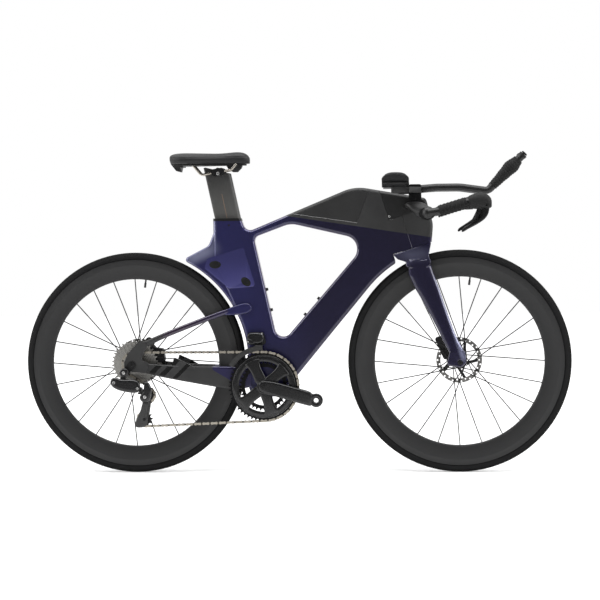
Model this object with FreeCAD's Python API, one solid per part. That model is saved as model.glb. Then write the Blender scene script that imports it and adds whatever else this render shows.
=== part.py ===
import FreeCAD, Part
import math
import os

# Time trial bike. X runs forward, Y to the rider's left, Z up. The ground is z = 0 and
# the origin lies midway between the wheel axles. All lengths are millimetres.

# General fits
tiny = 0.001
overrun = 5.0
run_gap = 0.05
part_gap = 0.4
side_gap = 0.3

# Wheels
wheel_base = 993.0
bead_seat_radius = 311.0
tyre_section = 28.0
tyre_wall = 2.6
rim_lip = 6.0
rim_depth = 60.0
rim_width = 29.0
rim_wall = 2.4
rim_apex_radius = 6.5
rim_shoulder_share = 0.72
rim_arcs = 12
spoke_count = 24
spoke_width = 2.4
spoke_depth = 0.9
spoke_stagger = 3.4
spoke_sweep = 63.0
spoke_end_gap = 0.15
spoke_root_gap = 1.3
valve_radius = 2.6
valve_length = 24.0
valve_cap_radius = 3.4
valve_cap_length = 15.0
valve_angle = 82.5

# Hubs, axles and brake rotors
axle_radius = 6.0
axle_head_radius = 9.0
axle_head_length = 4.0
front_hub_width = 100.0
rear_hub_width = 142.0
hub_barrel_radius = 12.0
hub_flange_radius = 22.0
hub_flange_width = 6.0
hub_cap_radius = 9.0
front_flange_y = 21.0
front_rotor_y = 36.0
rear_drive_flange_y = 17.0
rear_brake_flange_y = 30.0
rear_rotor_y = 56.0
rotor_radius = 70.0
rotor_thickness = 1.8
rotor_track = 13.0
rotor_hub_radius = 24.0
rotor_arm_count = 5
rotor_arm_width = 9.0
rotor_arm_sweep = 34.0
rotor_window_count = 30
rotor_window_radius = 2.6
rotor_window_shift_share = 0.2
rotor_seat_radius = 17.0

# Frame
bottom_bracket_drop = 71.0
chain_stay_length = 405.0
head_angle = 72.5
fork_rake = 45.0
seat_angle = 78.0
frame_height = 512.0
frame_width = 46.0
frame_edge_radius = 11.0
rear_tyre_gap = 10.0
front_tyre_gap = 16.0
rear_arch_turn = 24.0
heel_share = 0.0789
shell_drop = 35.0
shell_drop_radius = 34.0
tail_width = 42.0
tail_edge_radius = 7.0
tail_arch_start = 24.0
tail_arch_end = 60.0
tail_tip_run = 28.0
tail_root_run = 35.0
shell_radius = 26.0
shell_width = 86.5
cup_radius = 20.5
cup_depth = 9.0
cup_flange_radius = 23.0
cup_flange = 1.6
spindle_radius = 12.0

# Outline of frame and top box as shares: forward of the bottom bracket by the span to the
# front axle, behind it by the span to the rear axle, up by the frame height.
seat_tube_rear_share = -0.384
seat_tube_top_share = 1.0625
frame_upper_shares = (
    (-0.198, 1.0625, 0.030),
    (-0.1305, 0.916, 0.043),
)
seat_tube_corner_share = 0.030
seat_tube_bend_share = 0.235
top_tube_depth = 28.3
top_tube_root_depth = 24.0
triangle_root_run = 15.5
triangle_root_share = 0.037
triangle_top_shares = (0.3767, 0.137)
triangle_low_shares = (0.4277, 0.2325, 0.051)

# Outline round the head, up from the crown and ahead of the steering axis by the head length
head_outline_shares = (
    (2.284, -0.9235, 1.275),
    (1.289, 0.980, 0.1405),
    (0.498, 0.951, 0.783),
    (-0.566, 0.5206, 0.1405),
    (-0.1745, -0.1265, 0.1667),
)
triangle_head_share = (0.6108, -1.0412, 0.4016)

# Outline of the tail by turns round the rear hub, out from the wheel arch by the frame height
tail_upper_turns = (57.2, 58.4, 54.3, 22.1)
tail_upper_shares = ((0.150, 0.049), (0.2494, 0.024), (0.2953, 0.024), (0.0496, 0.024))
tail_tip_share = 0.018

# Head tube and steering, along the steering axis from the foot nearest the front axle
crown_height = 371.0
head_length = 102.0
head_radius = 27.0
stem_round_radius = 34.0
crown_sweep_radius = 51.0
head_reach = 170.0
bearing_radius = 21.0
bearing_height = 7.0
head_bore_radius = 17.0
steerer_radius = 14.3
steerer_top = 46.0

# Top box, hatch and bottle bosses
box_rear_shares = (0.4396, 0.0113)
box_corner_share = (1.2275, -1.1863)
box_front_share = (1.9765, -0.599)
box_seam = 0.4
hatch_tail_turns = (37.7, 53.1, 54.5)
hatch_tail_shares = (0.0424, 0.0262, 0.0836)
hatch_front_shares = ((-0.150, 0.826), (-0.062, 0.594))
hatch_corner_share = 0.016
hatch_depth = 4.0
hatch_gap = 0.5
hatch_pocket_depth = 30.0
hatch_ledge_share = 0.80
rear_latch_shares = (0.20, 0.41)
front_latch_share = 0.68
latch_radius = 5.0
latch_length = 19.0
latch_height = 2.6
latch_pin_radius = 2.0
latch_angles = (20.0, 205.0)
boss_bore_radius = 2.5
boss_radius = 4.2
boss_depth = 15.0
boss_flange_radius = 5.6
boss_flange = 1.4
boss_spacing = 64.0
seat_boss_share = 0.335
down_boss_share = 0.30

# Seat post and collar
collar_height = 8.0
post_chord = 79.0
post_nose = 13.0
post_tail = 6.5
post_socket_depth = 93.4
post_room = 20.0
post_head = 674.0
post_head_slope = 14.0
post_head_crown = 16.0
seat_bolt_radius = 3.2
seat_bolt_depth = 6.0
seat_bolt_share = (-0.261, 0.959)

# Stays and dropouts
dropout_thickness = 10.0
chain_stay_thickness = 16.0
chain_stay_shares = (
    (0.10, 0.335, 1.000, -0.005, 0.105),
    (0.28, 0.405, 1.000, -0.015, 0.118),
    (0.49, 0.600, 0.875, 0.014, 0.122),
    (0.69, 0.800, 0.8125, 0.046, 0.130),
    (0.86, 0.985, 0.750, 0.078, 0.142),
    (0.97, 1.070, 0.625, 0.102, 0.148),
)
stay_corner_share = 0.42
seat_stay_shares = (
    (0.950, 0.238, 1.070, 0.020),
    (0.750, 0.310, 0.860, 0.017),
    (0.500, 0.385, 0.590, 0.0165),
    (0.240, 0.455, 0.375, 0.0165),
    (0.130, 0.478, 0.330, 0.0165),
)
seat_stay_depth = 12.0
dropout_shares = (
    (1.058, 0.100, 0.012),
    (1.060, 0.152, 0.016),
    (1.030, 0.205, 0.018),
    (0.930, 0.290, 0.018),
    (0.880, 0.250, 0.020),
    (0.935, 0.165, 0.020),
    (0.880, 0.150, 0.012),
    (0.880, 0.085, 0.012),
)
stay_fin_shares = (
    (0.705, 0.120, 0.006),
    (0.684, 0.178, 0.005),
    (0.590, 0.145, 0.060),
    (0.500, 0.105, 0.006),
)
stay_fin_y_share = 0.80
stay_fin_thickness = 5.0

# Fork
leg_height = 309.0
leg_sweep = 118.0
leg_chord = 67.0
leg_thickness = 26.0
leg_shares = (
    (1.000, 1.000, 1.000, 0.660, 1.000),
    (0.783, 0.775, 0.985, 0.760, 0.846),
    (0.518, 0.513, 0.955, 0.860, 0.730),
    (0.233, 0.225, 0.806, 1.000, 0.615),
    (0.107, 0.085, 0.731, 1.090, 0.500),
)
fork_foot_thickness = 11.0
fork_foot_shares = (
    (0.345, -0.030, 0.026),
    (0.260, 0.110, 0.020),
    (-0.130, 0.120, 0.026),
    (-0.165, -0.010, 0.032),
    (-0.030, -0.050, 0.032),
)
crown_rear = 48.0
crown_front = 75.0
crown_shares = (
    (0.775, 1.040, 0.070),
    (0.665, 0.930, 0.030),
    (1.225, 0.930, 0.030),
    (1.345, 0.980, 0.030),
    (1.565, 1.005, 0.030),
)
crown_half_share = 0.92
crown_neck_share = 0.18
crown_tyre_gap = 8.0
tyre_slot = 20.0

# Cockpit
bar_half_width = 190.0
bar_shares = (
    (0.000, 0.000, 0.000, 1.000, 1.000),
    (0.320, 0.000, 0.000, 1.000, 1.000),
    (0.680, 0.300, -0.190, 0.970, 0.960),
    (0.920, 0.820, -0.700, 0.900, 1.180),
    (1.000, 1.000, -0.850, 0.780, 1.400),
)
bar_reach = 60.0
bar_lift = 18.0
bar_chord = 62.0
bar_height = 26.0
bar_sweep = 36.0
bar_drop = 30.0
horn_radius = 11.8
horn_y = 196.0
horn_bend = 30.0
horn_elbow_share = 1.6
horn_ahead = 38.8
horn_below = 22.8
horn_lead = 32.0
horn_lead_rise = 4.0
horn_length = 87.0
horn_rise = 26.0
tape_start_share = 0.06
tape_end_share = 0.93
tape_thickness = 5.4
tape_ribs = 6
tape_rib_height = 0.9
hood_shares = (
    (0.00, 0.000, 0.78, 0.86),
    (0.22, 0.060, 0.92, 0.96),
    (0.50, 0.100, 1.00, 1.00),
    (0.80, 0.010, 0.94, 0.96),
    (1.00, -0.110, 0.50, 0.60),
)
hood_length = 66.0
hood_height = 46.0
hood_width = 35.0
lever_thickness = 13.0
lever_pivot_share = (0.78, -0.22)
lever_pin_radius = 3.0
lever_slot_gap = 0.6
lever_length = 84.0
lever_shares = (
    (0.110, 0.080, 0.080),
    (0.160, -0.290, 0.150),
    (-0.060, -0.640, 0.200),
    (-0.850, -1.030, 0.050),
    (-0.930, -0.940, 0.050),
    (-0.200, -0.470, 0.180),
    (-0.060, -0.200, 0.100),
    (-0.110, 0.060, 0.080),
)
slot_shares = ((-0.30, 0.22), (0.60, 0.22), (0.60, -1.0), (-0.30, -1.0))

# Extensions and arm rests
extension_y = 52.0
extension_radius = 11.1
extension_reach = 320.9
extension_rise = 144.2
extension_bend = 150.0
extension_shares = (
    (-0.1438, 0.3205, 0.0),
    (0.2083, 0.3760, 1.0),
    (0.4264, 0.3760, 1.0),
    (0.6882, 0.2928, 0.147),
)
grip_start_share = 0.14
grip_end_share = 0.90
grip_shares = ((0.00, 0.12), (0.20, 0.40), (0.55, 1.00), (0.80, 0.62), (1.00, 0.16))
grip_swell = 9.6
pod_radius = 12.4
pod_length = 8.0
button_radius = 9.4
button_height = 4.4
button_travel = 1.5
button_stem_radius = 3.0
button_stem = 5.0
riser_length = 38.0
riser_height = 64.0
riser_ahead = 20.8
riser_rise = 64.2
riser_width = 27.0
riser_corner = 6.0
cup_y = 103.0
cup_length = 81.0
cup_behind = 15.2
cup_rise = 54.2
cup_thickness = 4.0
cup_outer_radius = 56.0
cup_sweep = 62.0
pad_thickness = 15.0
pad_sweep = 66.0
pad_overhang = 3.0
pad_end_share = 0.55
pad_mid_share = 0.16
bracket_height = 18.0
bracket_width = 40.0
bracket_corner = 5.0
bracket_shares = ((0.16, 0.0), (0.70, 0.0), (1.0, 1.0), (0.62, 1.0))

# Drivetrain
chain_pitch = 12.7
chain_y = 48.0
roller_radius = 3.7
tooth_root_radius = 3.95
tooth_height = 2.8
tooth_tip = 2.2
tooth_root_sweep = 60.0
ring_thickness = 2.0
big_teeth = 52
small_teeth = 36
small_ring_inset = 8.0
big_ring_band = 18.0
small_ring_band = 14.0
web_band = 8.0
web_thickness = 2.2
ring_post_radius = 4.5
ring_post_circle = 66.0
ring_bolt_radius = 3.6
ring_bolt_height = 1.2
cog_teeth = (11, 12, 13, 14, 15, 17, 19, 21, 24, 27, 30, 34)
drive_cog = 17
cog_spacing = 3.6
cog_thickness = 1.6
freehub_radius = 14.5
freehub_end = 2.4
crank_length = 165.0
crank_angle = -14.3
crank_root_radius = 20.0
crank_end_radius = 16.0
crank_thickness = 14.0
crank_edge_radius = 3.0
pedal_face_half = 73.0
pedal_thread_radius = 7.14
crank_boss_length = 26.0
crank_boss_radius = 18.0
spider_angles = (57.0, 131.0, -57.0, -124.0)
spider_tip_radius = 87.0
spider_root_width = 30.0
spider_tip_width = 9.0
spider_thickness = 6.5
crank_dust_cap_radius = 11.0
crank_dust_cap = 1.2
link_end_radius = 4.2
link_plate = 0.8
inner_half_width = 1.1
plate_gap = 0.06
pin_radius = 1.7
pin_gap = 0.12

# Rear derailleur
pulley_teeth = 11
pulley_thickness = 1.8
pulley_pin_radius = 3.0
guide_ahead = 41.5
guide_below = 96.0
cage_length = 74.0
cage_angle_guess = 261.0
cage_plate = 1.6
cage_half_width = 6.0
cage_end_radius = 13.0
cage_tip_radius = 11.0
hanger_thickness = 4.0
hanger_behind = 20.5
hanger_below = 24.0
hanger_radius = 11.0
knuckle_radius = 13.0
knuckle_length = 26.0
link_length = 52.0
link_behind = 15.0
link_boss_radius = 5.0
link_boss_height = 14.0
link_thickness = 5.0
link_spacing = 12.0
link_drop = 26.0
link_pin_radius = 2.0
lug_thickness = 5.0
lug_margin = 7.0
body_length = 14.0
body_cover = 3.0
body_arm_radius = 6.0

# Front derailleur
mech_rear = 50.0
mech_front = 8.0
mech_low = 127.0
mech_high = 164.0
mech_depth = 21.0
mech_corner = 9.0
mech_cage_clear = 2.6
mech_cage_band = 15.0
mech_cage_start = 98.0
mech_cage_end = 148.0
mech_cage_half = 5.4
mech_cage_plate = 1.2
mech_bridge = 22.0
mech_bridge_height = 8.0
mech_motor_radius = 15.0
mech_motor_depth = 5.0

# Brake calipers
caliper_width = 24.0
caliper_corner = 8.0
caliper_slot = 4.6
front_caliper_shares = ((-0.66, 0.02), (-0.30, 0.10), (-0.62, 1.10), (-1.08, 0.98))
rear_caliper_shares = ((0.34, -0.04), (1.20, -0.04), (1.12, 0.56), (0.42, 0.64))

# Saddle
saddle_nose_ahead = -40.0
saddle_length = 245.0
saddle_width = 132.0
saddle_floor = 678.0
saddle_height = 36.0
saddle_base_height = 5.0
saddle_cover_shares = (
    (0.000, 0.46, 0.62),
    (0.035, 0.78, 0.84),
    (0.110, 0.96, 0.94),
    (0.250, 1.00, 0.96),
    (0.460, 0.76, 0.92),
    (0.640, 0.52, 0.91),
    (0.830, 0.43, 1.00),
    (0.930, 0.37, 0.92),
    (1.000, 0.24, 0.56),
)
saddle_foot_share = 0.84
saddle_edge_share = 0.93
saddle_edge_drop_share = 0.32
saddle_base_shares = (
    (0.02, 0.62, 0.06),
    (0.25, 0.82, 0.14),
    (0.62, 0.40, 0.14),
    (0.96, 0.28, 0.05),
)
saddle_hook_shares = ((0.000, 0.060), (0.060, -0.560), (0.105, -0.640), (0.130, -0.250), (0.170, -0.240), (0.170, 0.010))
saddle_hook_half = 34.0
saddle_keel_shares = ((0.697, 0.0), (0.746, -0.528), (0.795, -0.694), (0.848, -0.694), (0.897, -0.361), (0.9175, 0.0))
saddle_keel_half = 12.0
rail_radius = 3.5
rail_y = 22.0
rail_rear_share = 0.285
rail_knee_share = (0.400, -0.920)
rail_toe_share = (0.780, -0.490)
rail_front_share = 0.840
rail_bend = 13.0
clamp_length = 40.0
clamp_height = 22.0
clamp_ear = 15.0
clamp_corner = 9.0
clamp_barrel_radius = 8.0
clamp_bolt_radius = 4.0
clamp_bolt_proud = 1.2

# Derived places
tyre_radius = bead_seat_radius + tyre_section
rim_radius = bead_seat_radius + rim_lip
rim_inner_radius = rim_radius - rim_depth
rear_x = -wheel_base / 2
front_x = wheel_base / 2
hub_z = tyre_radius
bracket_z = hub_z - bottom_bracket_drop
rear_span = math.sqrt(chain_stay_length ** 2 - bottom_bracket_drop ** 2)
bracket_x = rear_x + rear_span
front_span = front_x - bracket_x
frame_half = frame_width / 2
shell_half = shell_width / 2
front_half = front_hub_width / 2
rear_half = rear_hub_width / 2
seat_top = bracket_z + frame_height

V = FreeCAD.Vector
along_x = V(1, 0, 0)
along_y = V(0, 1, 0)
along_z = V(0, 0, 1)


def turned(angle):
    """Direction in the side view at an angle from forward toward up, in degrees."""
    return V(math.cos(math.radians(angle)), 0, math.sin(math.radians(angle)))


seat_up = V(-math.cos(math.radians(seat_angle)), 0, math.sin(math.radians(seat_angle)))
seat_ahead = V(seat_up.z, 0, -seat_up.x)
steer_up = V(-math.cos(math.radians(head_angle)), 0, math.sin(math.radians(head_angle)))
steer_ahead = V(steer_up.z, 0, -steer_up.x)
steer_foot = V(front_x, 0, hub_z) - steer_ahead * fork_rake
stem_floor = crown_height + head_length
bracket_point = V(bracket_x, 0, bracket_z)
rear_point = V(rear_x, 0, hub_z)
front_point = V(front_x, 0, hub_z)
post_socket = frame_height / seat_up.z - post_socket_depth
post_bottom = post_socket + post_room


def side(across, up):
    """Side view point from shares of the spans before or behind the bottom bracket."""
    span = front_span if across > 0 else rear_span
    return V(bracket_x + across * span, 0, bracket_z + up * frame_height)


def steer(up, ahead, y=0):
    """Point up the steering axis and ahead of it."""
    return steer_foot + steer_up * up + steer_ahead * ahead + along_y * y


def head_place(up, ahead):
    """Side view point by shares of the head length, up from the crown and ahead of the steering axis."""
    return steer(crown_height + up * head_length, ahead * head_length)


def rounded_wire(corners):
    """Closed wire through (point, radius) corners, straight runs joined by tangent arcs."""
    count = len(corners)
    starts, ends, edges = [], [], []
    for index, (here, radius) in enumerate(corners):
        back = (corners[index - 1][0] - here).normalize()
        ahead = (corners[(index + 1) % count][0] - here).normalize()
        half = back.getAngle(ahead) / 2
        reach = radius / math.tan(half)
        starts.append(here + back * reach)
        ends.append(here + ahead * reach)
        if radius > tiny:
            middle = here + (back + ahead).normalize() * (radius / math.sin(half) - radius)
            edges.append((index, Part.Arc(starts[-1], middle, ends[-1]).toShape()))
    arcs = dict(edges)
    loop = []
    for index in range(count):
        if index in arcs:
            loop.append(arcs[index])
        onward = starts[(index + 1) % count]
        if (onward - ends[index]).Length > tiny:
            loop.append(Part.LineSegment(ends[index], onward).toShape())
    return Part.Wire(loop)


def slab(corners, low, high):
    """Side view outline of (point, radius) corners, solid from y = low to y = high."""
    raised = [(point + along_y * low, radius) for point, radius in corners]
    return Part.Face(rounded_wire(raised)).extrude(along_y * (high - low))


def strap_wire(first, first_radius, second, second_radius, up):
    """Loop of two round ends and the straight sides that touch both; up lies square to the run."""
    way = (second - first).normalize()
    lean = math.asin((first_radius - second_radius) / (second - first).Length)
    upper = up * math.cos(lean) + way * math.sin(lean)
    lower = way * math.sin(lean) - up * math.cos(lean)
    return Part.Wire([
        Part.LineSegment(first + upper * first_radius, second + upper * second_radius).toShape(),
        Part.Arc(second + upper * second_radius, second + way * second_radius, second + lower * second_radius).toShape(),
        Part.LineSegment(second + lower * second_radius, first + lower * first_radius).toShape(),
        Part.Arc(first + lower * first_radius, first - way * first_radius, first + upper * first_radius).toShape(),
    ])


def strap(first, first_radius, second, second_radius, low, high):
    """Side view plate with round ends about two centres, solid from y = low to y = high."""
    up = (second - first).cross(along_y).normalize()
    start = V(first.x, low, first.z)
    end = V(second.x, low, second.z)
    return Part.Face(strap_wire(start, first_radius, end, second_radius, up)).extrude(along_y * (high - low))


def prism(corners, depth):
    """Outline of (point, radius) corners in any plane, extruded by the vector depth."""
    return Part.Face(rounded_wire(corners)).extrude(depth)


def ease_sides(solid, radius, levels):
    """Round the edges that lie in the planes y = levels."""
    picked = []
    for edge in solid.Edges:
        box = edge.BoundBox
        for level in levels:
            if abs(box.YMin - level) < tiny and abs(box.YMax - level) < tiny:
                picked.append(edge)
    return solid.makeFillet(radius, picked)


def peg(centre, radius, low, high):
    """Cylinder along Y from y = low to y = high."""
    return Part.makeCylinder(radius, high - low, V(centre.x, low, centre.z), along_y)


def ring(centre, outer, inner, low, high):
    """Round washer or tube along Y."""
    return peg(centre, outer, low, high).cut(peg(centre, inner, low - overrun, high + overrun))


def rod(start, end, radius):
    """Cylinder between two points."""
    return Part.makeCylinder(radius, (end - start).Length, start, end - start)


def turned_face(profile, centre):
    """Face through the axis along Y from a profile of (radius, y, corner radius)."""
    corners = [(V(centre.x + out, y, centre.z), radius) for out, y, radius in profile]
    return Part.Face(rounded_wire(corners))


def spun(profile, centre):
    """Solid of revolution about Y from a profile of (radius, y, corner radius)."""
    return turned_face(profile, centre).revolve(centre, along_y, 360)


def route_wire(route):
    """Open wire along (point, bend radius) with tangent arcs at the bends."""
    edges = []
    last = route[0][0]
    for index in range(1, len(route) - 1):
        here, radius = route[index]
        back = (route[index - 1][0] - here).normalize()
        ahead = (route[index + 1][0] - here).normalize()
        half = back.getAngle(ahead) / 2
        reach = radius / math.tan(half)
        start = here + back * reach
        end = here + ahead * reach
        middle = here + (back + ahead).normalize() * (radius / math.sin(half) - radius)
        edges.append(Part.LineSegment(last, start).toShape())
        edges.append(Part.Arc(start, middle, end).toShape())
        last = end
    edges.append(Part.LineSegment(last, route[-1][0]).toShape())
    return Part.Wire(edges)


def piped(route, radius):
    """Round bar along a route."""
    spine = route_wire(route)
    start = route[0][0]
    circle = Part.Circle(start, route[1][0] - start, radius).toShape()
    return spine.makePipeShell([Part.Wire(circle)], True, True)


def oval(centre, first, second):
    """Ellipse wire whose half axes are the two vectors."""
    if first.Length >= second.Length:
        curve = Part.Ellipse(centre + first, centre + second, centre)
    else:
        curve = Part.Ellipse(centre + second, centre - first, centre)
    return Part.Wire(curve.toShape())


def box_wire(centre, first, second, corner):
    """Rounded rectangle wire with half sides first and second."""
    points = [centre + first + second, centre - first + second, centre - first - second, centre + first - second]
    return rounded_wire([(point, corner) for point in points])


def mirrored(shape):
    """The same shape on the other side of the bike."""
    return shape.mirror(V(0, 0, 0), along_y)


def pair(shape):
    """Right and left copies as two separate solids."""
    return Part.makeCompound([shape, mirrored(shape)])


def half_space(point, outward, reach):
    """Block that fills the side of a plane that outward points to."""
    across = along_y * reach
    flat = outward.cross(along_y).normalize() * reach
    corners = [point + across + flat, point - across + flat, point - across - flat, point + across - flat]
    return prism([(corner, 0) for corner in corners], V(outward).normalize() * reach)


def export(shape, name):
    shape.exportStep("parts/" + name + ".step")


os.makedirs("parts", exist_ok=True)


# Wheels

def tyre(centre):
    """Open casing whose beads stand between the rim edges."""
    section = tyre_section / 2
    crown = bead_seat_radius + section
    mouth = math.sqrt(section ** 2 - (crown - rim_radius) ** 2)
    inner = section - tyre_wall
    throat = math.sqrt(inner ** 2 - (crown - rim_radius) ** 2)
    foot = bead_seat_radius + side_gap

    def at(out, y):
        return V(centre.x + out, y, centre.z)

    outside = Part.Arc(at(rim_radius, -mouth), at(crown + section, 0), at(rim_radius, mouth))
    inside = Part.Arc(at(rim_radius, throat), at(crown + inner, 0), at(rim_radius, -throat))
    edges = [outside.toShape()]
    edges.append(Part.LineSegment(at(rim_radius, mouth), at(foot, mouth)).toShape())
    edges.append(Part.LineSegment(at(foot, mouth), at(foot, throat)).toShape())
    edges.append(Part.LineSegment(at(foot, throat), at(rim_radius, throat)).toShape())
    edges.append(inside.toShape())
    edges.append(Part.LineSegment(at(rim_radius, -throat), at(foot, -throat)).toShape())
    edges.append(Part.LineSegment(at(foot, -throat), at(foot, -mouth)).toShape())
    edges.append(Part.LineSegment(at(foot, -mouth), at(rim_radius, -mouth)).toShape())
    return Part.Face(Part.Wire(edges)).revolve(centre, along_y, 360)


def rim(centre):
    """Deep hollow rim as arcs with a channel for the tyre, and the valve."""
    section = tyre_section / 2
    channel = math.sqrt(section ** 2 - (section - rim_lip) ** 2)
    half = rim_width / 2
    shoulder = rim_inner_radius + rim_depth * rim_shoulder_share
    skin = turned_face((
        (rim_radius, channel, 0), (rim_radius, half - side_gap, 0), (shoulder, half, half),
        (rim_inner_radius, rim_apex_radius, rim_apex_radius - tiny), (rim_inner_radius, -rim_apex_radius, rim_apex_radius - tiny),
        (shoulder, -half, half), (rim_radius, side_gap - half, 0), (rim_radius, -channel, 0),
        (bead_seat_radius, -channel, 0), (bead_seat_radius, channel, 0),
    ), centre)
    floor = bead_seat_radius - rim_wall
    inner_half = half - rim_wall
    hollow = turned_face((
        (floor, inner_half - rim_wall, 0), (shoulder, inner_half, half), (rim_inner_radius + rim_wall, rim_wall, 0),
        (rim_inner_radius + rim_wall, -rim_wall, 0), (shoulder, -inner_half, half), (floor, rim_wall - inner_half, 0),
    ), centre)
    outward = turned(valve_angle)
    top = centre + outward * (rim_inner_radius - side_gap)
    neck = centre + outward * (rim_inner_radius - valve_length + valve_cap_length)
    tip = centre + outward * (rim_inner_radius - valve_length)
    valve = rod(tip, neck, valve_cap_radius).fuse(rod(neck, top, valve_radius)).removeSplitter()
    section_face = skin.cut(hollow).Faces[0]
    arc = section_face.revolve(centre, along_y, 360 / rim_arcs)
    arcs = [arc.rotated(centre, along_y, 360 * number / rim_arcs) for number in range(rim_arcs)]
    return Part.makeCompound(arcs + [valve])


def spokes(centre, right_y, left_y):
    """Bladed spokes laced to two flanges; crossing blades are staggered along the hub."""
    blades = []
    for number in range(spoke_count):
        on_left = number % 2 == 1
        lead = 1 if (number // 2) % 2 == 0 else -1
        flange_y = left_y if on_left else -right_y
        rim_angle = 360 * number / spoke_count
        root = centre + turned(rim_angle + lead * spoke_sweep) * (hub_flange_radius + spoke_root_gap)
        root = root + along_y * (flange_y + lead * spoke_stagger / 2)
        tip = centre + turned(rim_angle) * (rim_inner_radius - spoke_end_gap) + along_y * (lead * spoke_stagger / 4)
        run = tip - root
        wide = run.cross(along_y).normalize() * (spoke_width / 2)
        thin = run.cross(wide).normalize() * (spoke_depth / 2)
        blades.append(prism([(p, 0) for p in (root + wide + thin, root - wide + thin, root - wide - thin,
                                              root + wide - thin)], run))
    return Part.makeCompound(blades)


def hub(centre, half, right_y, left_y, rotor_y, right_shoulder):
    """Hub shell with two flanges and a rotor seat, bored for the thru axle."""
    bore = axle_radius + run_gap
    reach = hub_flange_width / 2
    seat = rotor_y - rotor_thickness / 2
    profile = (
        (bore, -half, 0), (hub_cap_radius, -half, 0), (hub_cap_radius, -right_shoulder, 0),
        (hub_barrel_radius, -right_shoulder, 0), (hub_barrel_radius, -right_y - reach, 0),
        (hub_flange_radius, -right_y - reach, 0), (hub_flange_radius, reach - right_y, 0),
        (hub_barrel_radius, reach - right_y, 0), (hub_barrel_radius, left_y - reach, 0),
        (hub_flange_radius, left_y - reach, 0), (hub_flange_radius, left_y + reach, 0),
        (rotor_seat_radius, left_y + reach, 0), (rotor_seat_radius, seat, 0), (hub_barrel_radius, seat, 0),
        (hub_barrel_radius, rotor_y + overrun, 0), (hub_cap_radius, rotor_y + overrun, 0), (hub_cap_radius, half, 0),
        (bore, half, 0),
    )
    return spun(profile, centre)


def rotor(centre, y):
    """Brake rotor: a drilled track carried by swept arms."""
    low = y - rotor_thickness / 2
    high = y + rotor_thickness / 2
    track_inner = rotor_radius - rotor_track
    disc = ring(centre, rotor_radius, track_inner, low, high)
    middle = rotor_radius - rotor_track / 2
    for number in range(rotor_window_count):
        shift = rotor_track * rotor_window_shift_share
        if number % 2 == 0:
            shift = -shift
        place = centre + turned(360 * number / rotor_window_count) * (middle + shift)
        disc = disc.cut(peg(place, rotor_window_radius, low - overrun, high + overrun))
    arms = peg(centre, rotor_hub_radius, low, high)
    for number in range(rotor_arm_count):
        angle = 360 * number / rotor_arm_count
        root = centre + turned(angle - rotor_arm_sweep) * (rotor_hub_radius - rotor_arm_width / 2)
        tip = centre + turned(angle) * (track_inner + rotor_arm_width / 4)
        broad = (tip - root).cross(along_y).normalize() * (rotor_arm_width / 2)
        corners = [(p, 0) for p in (root + broad, tip + broad, tip - broad, root - broad)]
        arms = arms.fuse(slab(corners, low, high))
    solid = disc.fuse(arms).cut(peg(centre, hub_barrel_radius, low - overrun, high + overrun))
    return solid.removeSplitter()


def thru_axle(centre, low, high):
    """Thru axle with its head on the left."""
    return peg(centre, axle_radius, low, high).fuse(peg(centre, axle_head_radius, high, high + axle_head_length))


for name, centre in (("front", front_point), ("rear", rear_point)):
    export(tyre(centre), name + "_tyre")
    export(rim(centre), name + "_rim")
export(spokes(front_point, front_flange_y, front_flange_y), "front_spokes")
export(spokes(rear_point, rear_drive_flange_y, rear_brake_flange_y), "rear_spokes")
export(hub(front_point, front_half, front_flange_y, front_flange_y, front_rotor_y, front_half - overrun), "front_hub")
export(hub(rear_point, rear_half, rear_drive_flange_y, rear_brake_flange_y, rear_rotor_y,
           rear_drive_flange_y + hub_flange_width), "rear_hub")
export(rotor(front_point, front_rotor_y), "front_rotor")
export(rotor(rear_point, rear_rotor_y), "rear_rotor")


# Main frame block, with the top box, nose and stem still in one piece

rear_arch = tyre_radius + rear_tyre_gap
front_arch = tyre_radius + front_tyre_gap
seat_tube_rear = side(seat_tube_rear_share, 0).x


def scaled(corners):
    return [(side(across, up), radius * frame_height) for across, up, radius in corners]


def arch_corner(centre, radius, first, last):
    """Corner whose rounding is the wheel arch between two angles round the hub."""
    half = math.radians(last - first) / 2
    return centre + turned((first + last) / 2) * (radius / math.cos(half))


def tail_place(turn, out):
    """Side view point at a turn round the rear hub, out from the wheel arch by a share of the height."""
    return rear_point + turned(turn) * (rear_arch + out * frame_height)


def bearing_of(centre, point):
    return math.degrees(math.atan2(point.z - centre.z, point.x - centre.x))


def arch_lean(point):
    """Angle at a point between the front hub and the line that touches the front wheel arch."""
    return math.degrees(math.asin(front_arch / (front_point - point).Length))


junction = side(*frame_upper_shares[1][:2])
crest = head_place(*head_outline_shares[0][:2])
top_tube_run = crest - junction
frame_floor = bracket_z - shell_drop
heel = V(side(heel_share, 0).x, 0, frame_floor)
down_tube_angle = bearing_of(heel, front_point) + arch_lean(heel)


def main_triangle():
    """Corners of the main triangle as (point, radius), a tube depth in from the outline."""
    along = V(top_tube_run).normalize()
    inward = along_y.cross(along)
    seat = junction + along * triangle_root_run + inward * top_tube_root_depth
    top_along, top_radius = triangle_top_shares
    top = junction + top_tube_run * top_along + inward * top_tube_depth
    head_up, head_ahead, head_radius_share = triangle_head_share
    low_across, low_up, low_radius = triangle_low_shares
    low_z = bracket_z + low_up * frame_height
    rear_edge = rear_x + math.sqrt(rear_arch ** 2 - (low_z - hub_z) ** 2)
    front_edge = heel.x + (low_z - heel.z) / math.tan(math.radians(down_tube_angle))
    low = V(rear_edge + low_across * (front_edge - rear_edge), 0, low_z)
    return [(seat, triangle_root_share * frame_height), (top, top_radius * frame_height),
            (head_place(head_up, head_ahead), head_radius_share * head_length), (low, low_radius * frame_height)]


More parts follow.
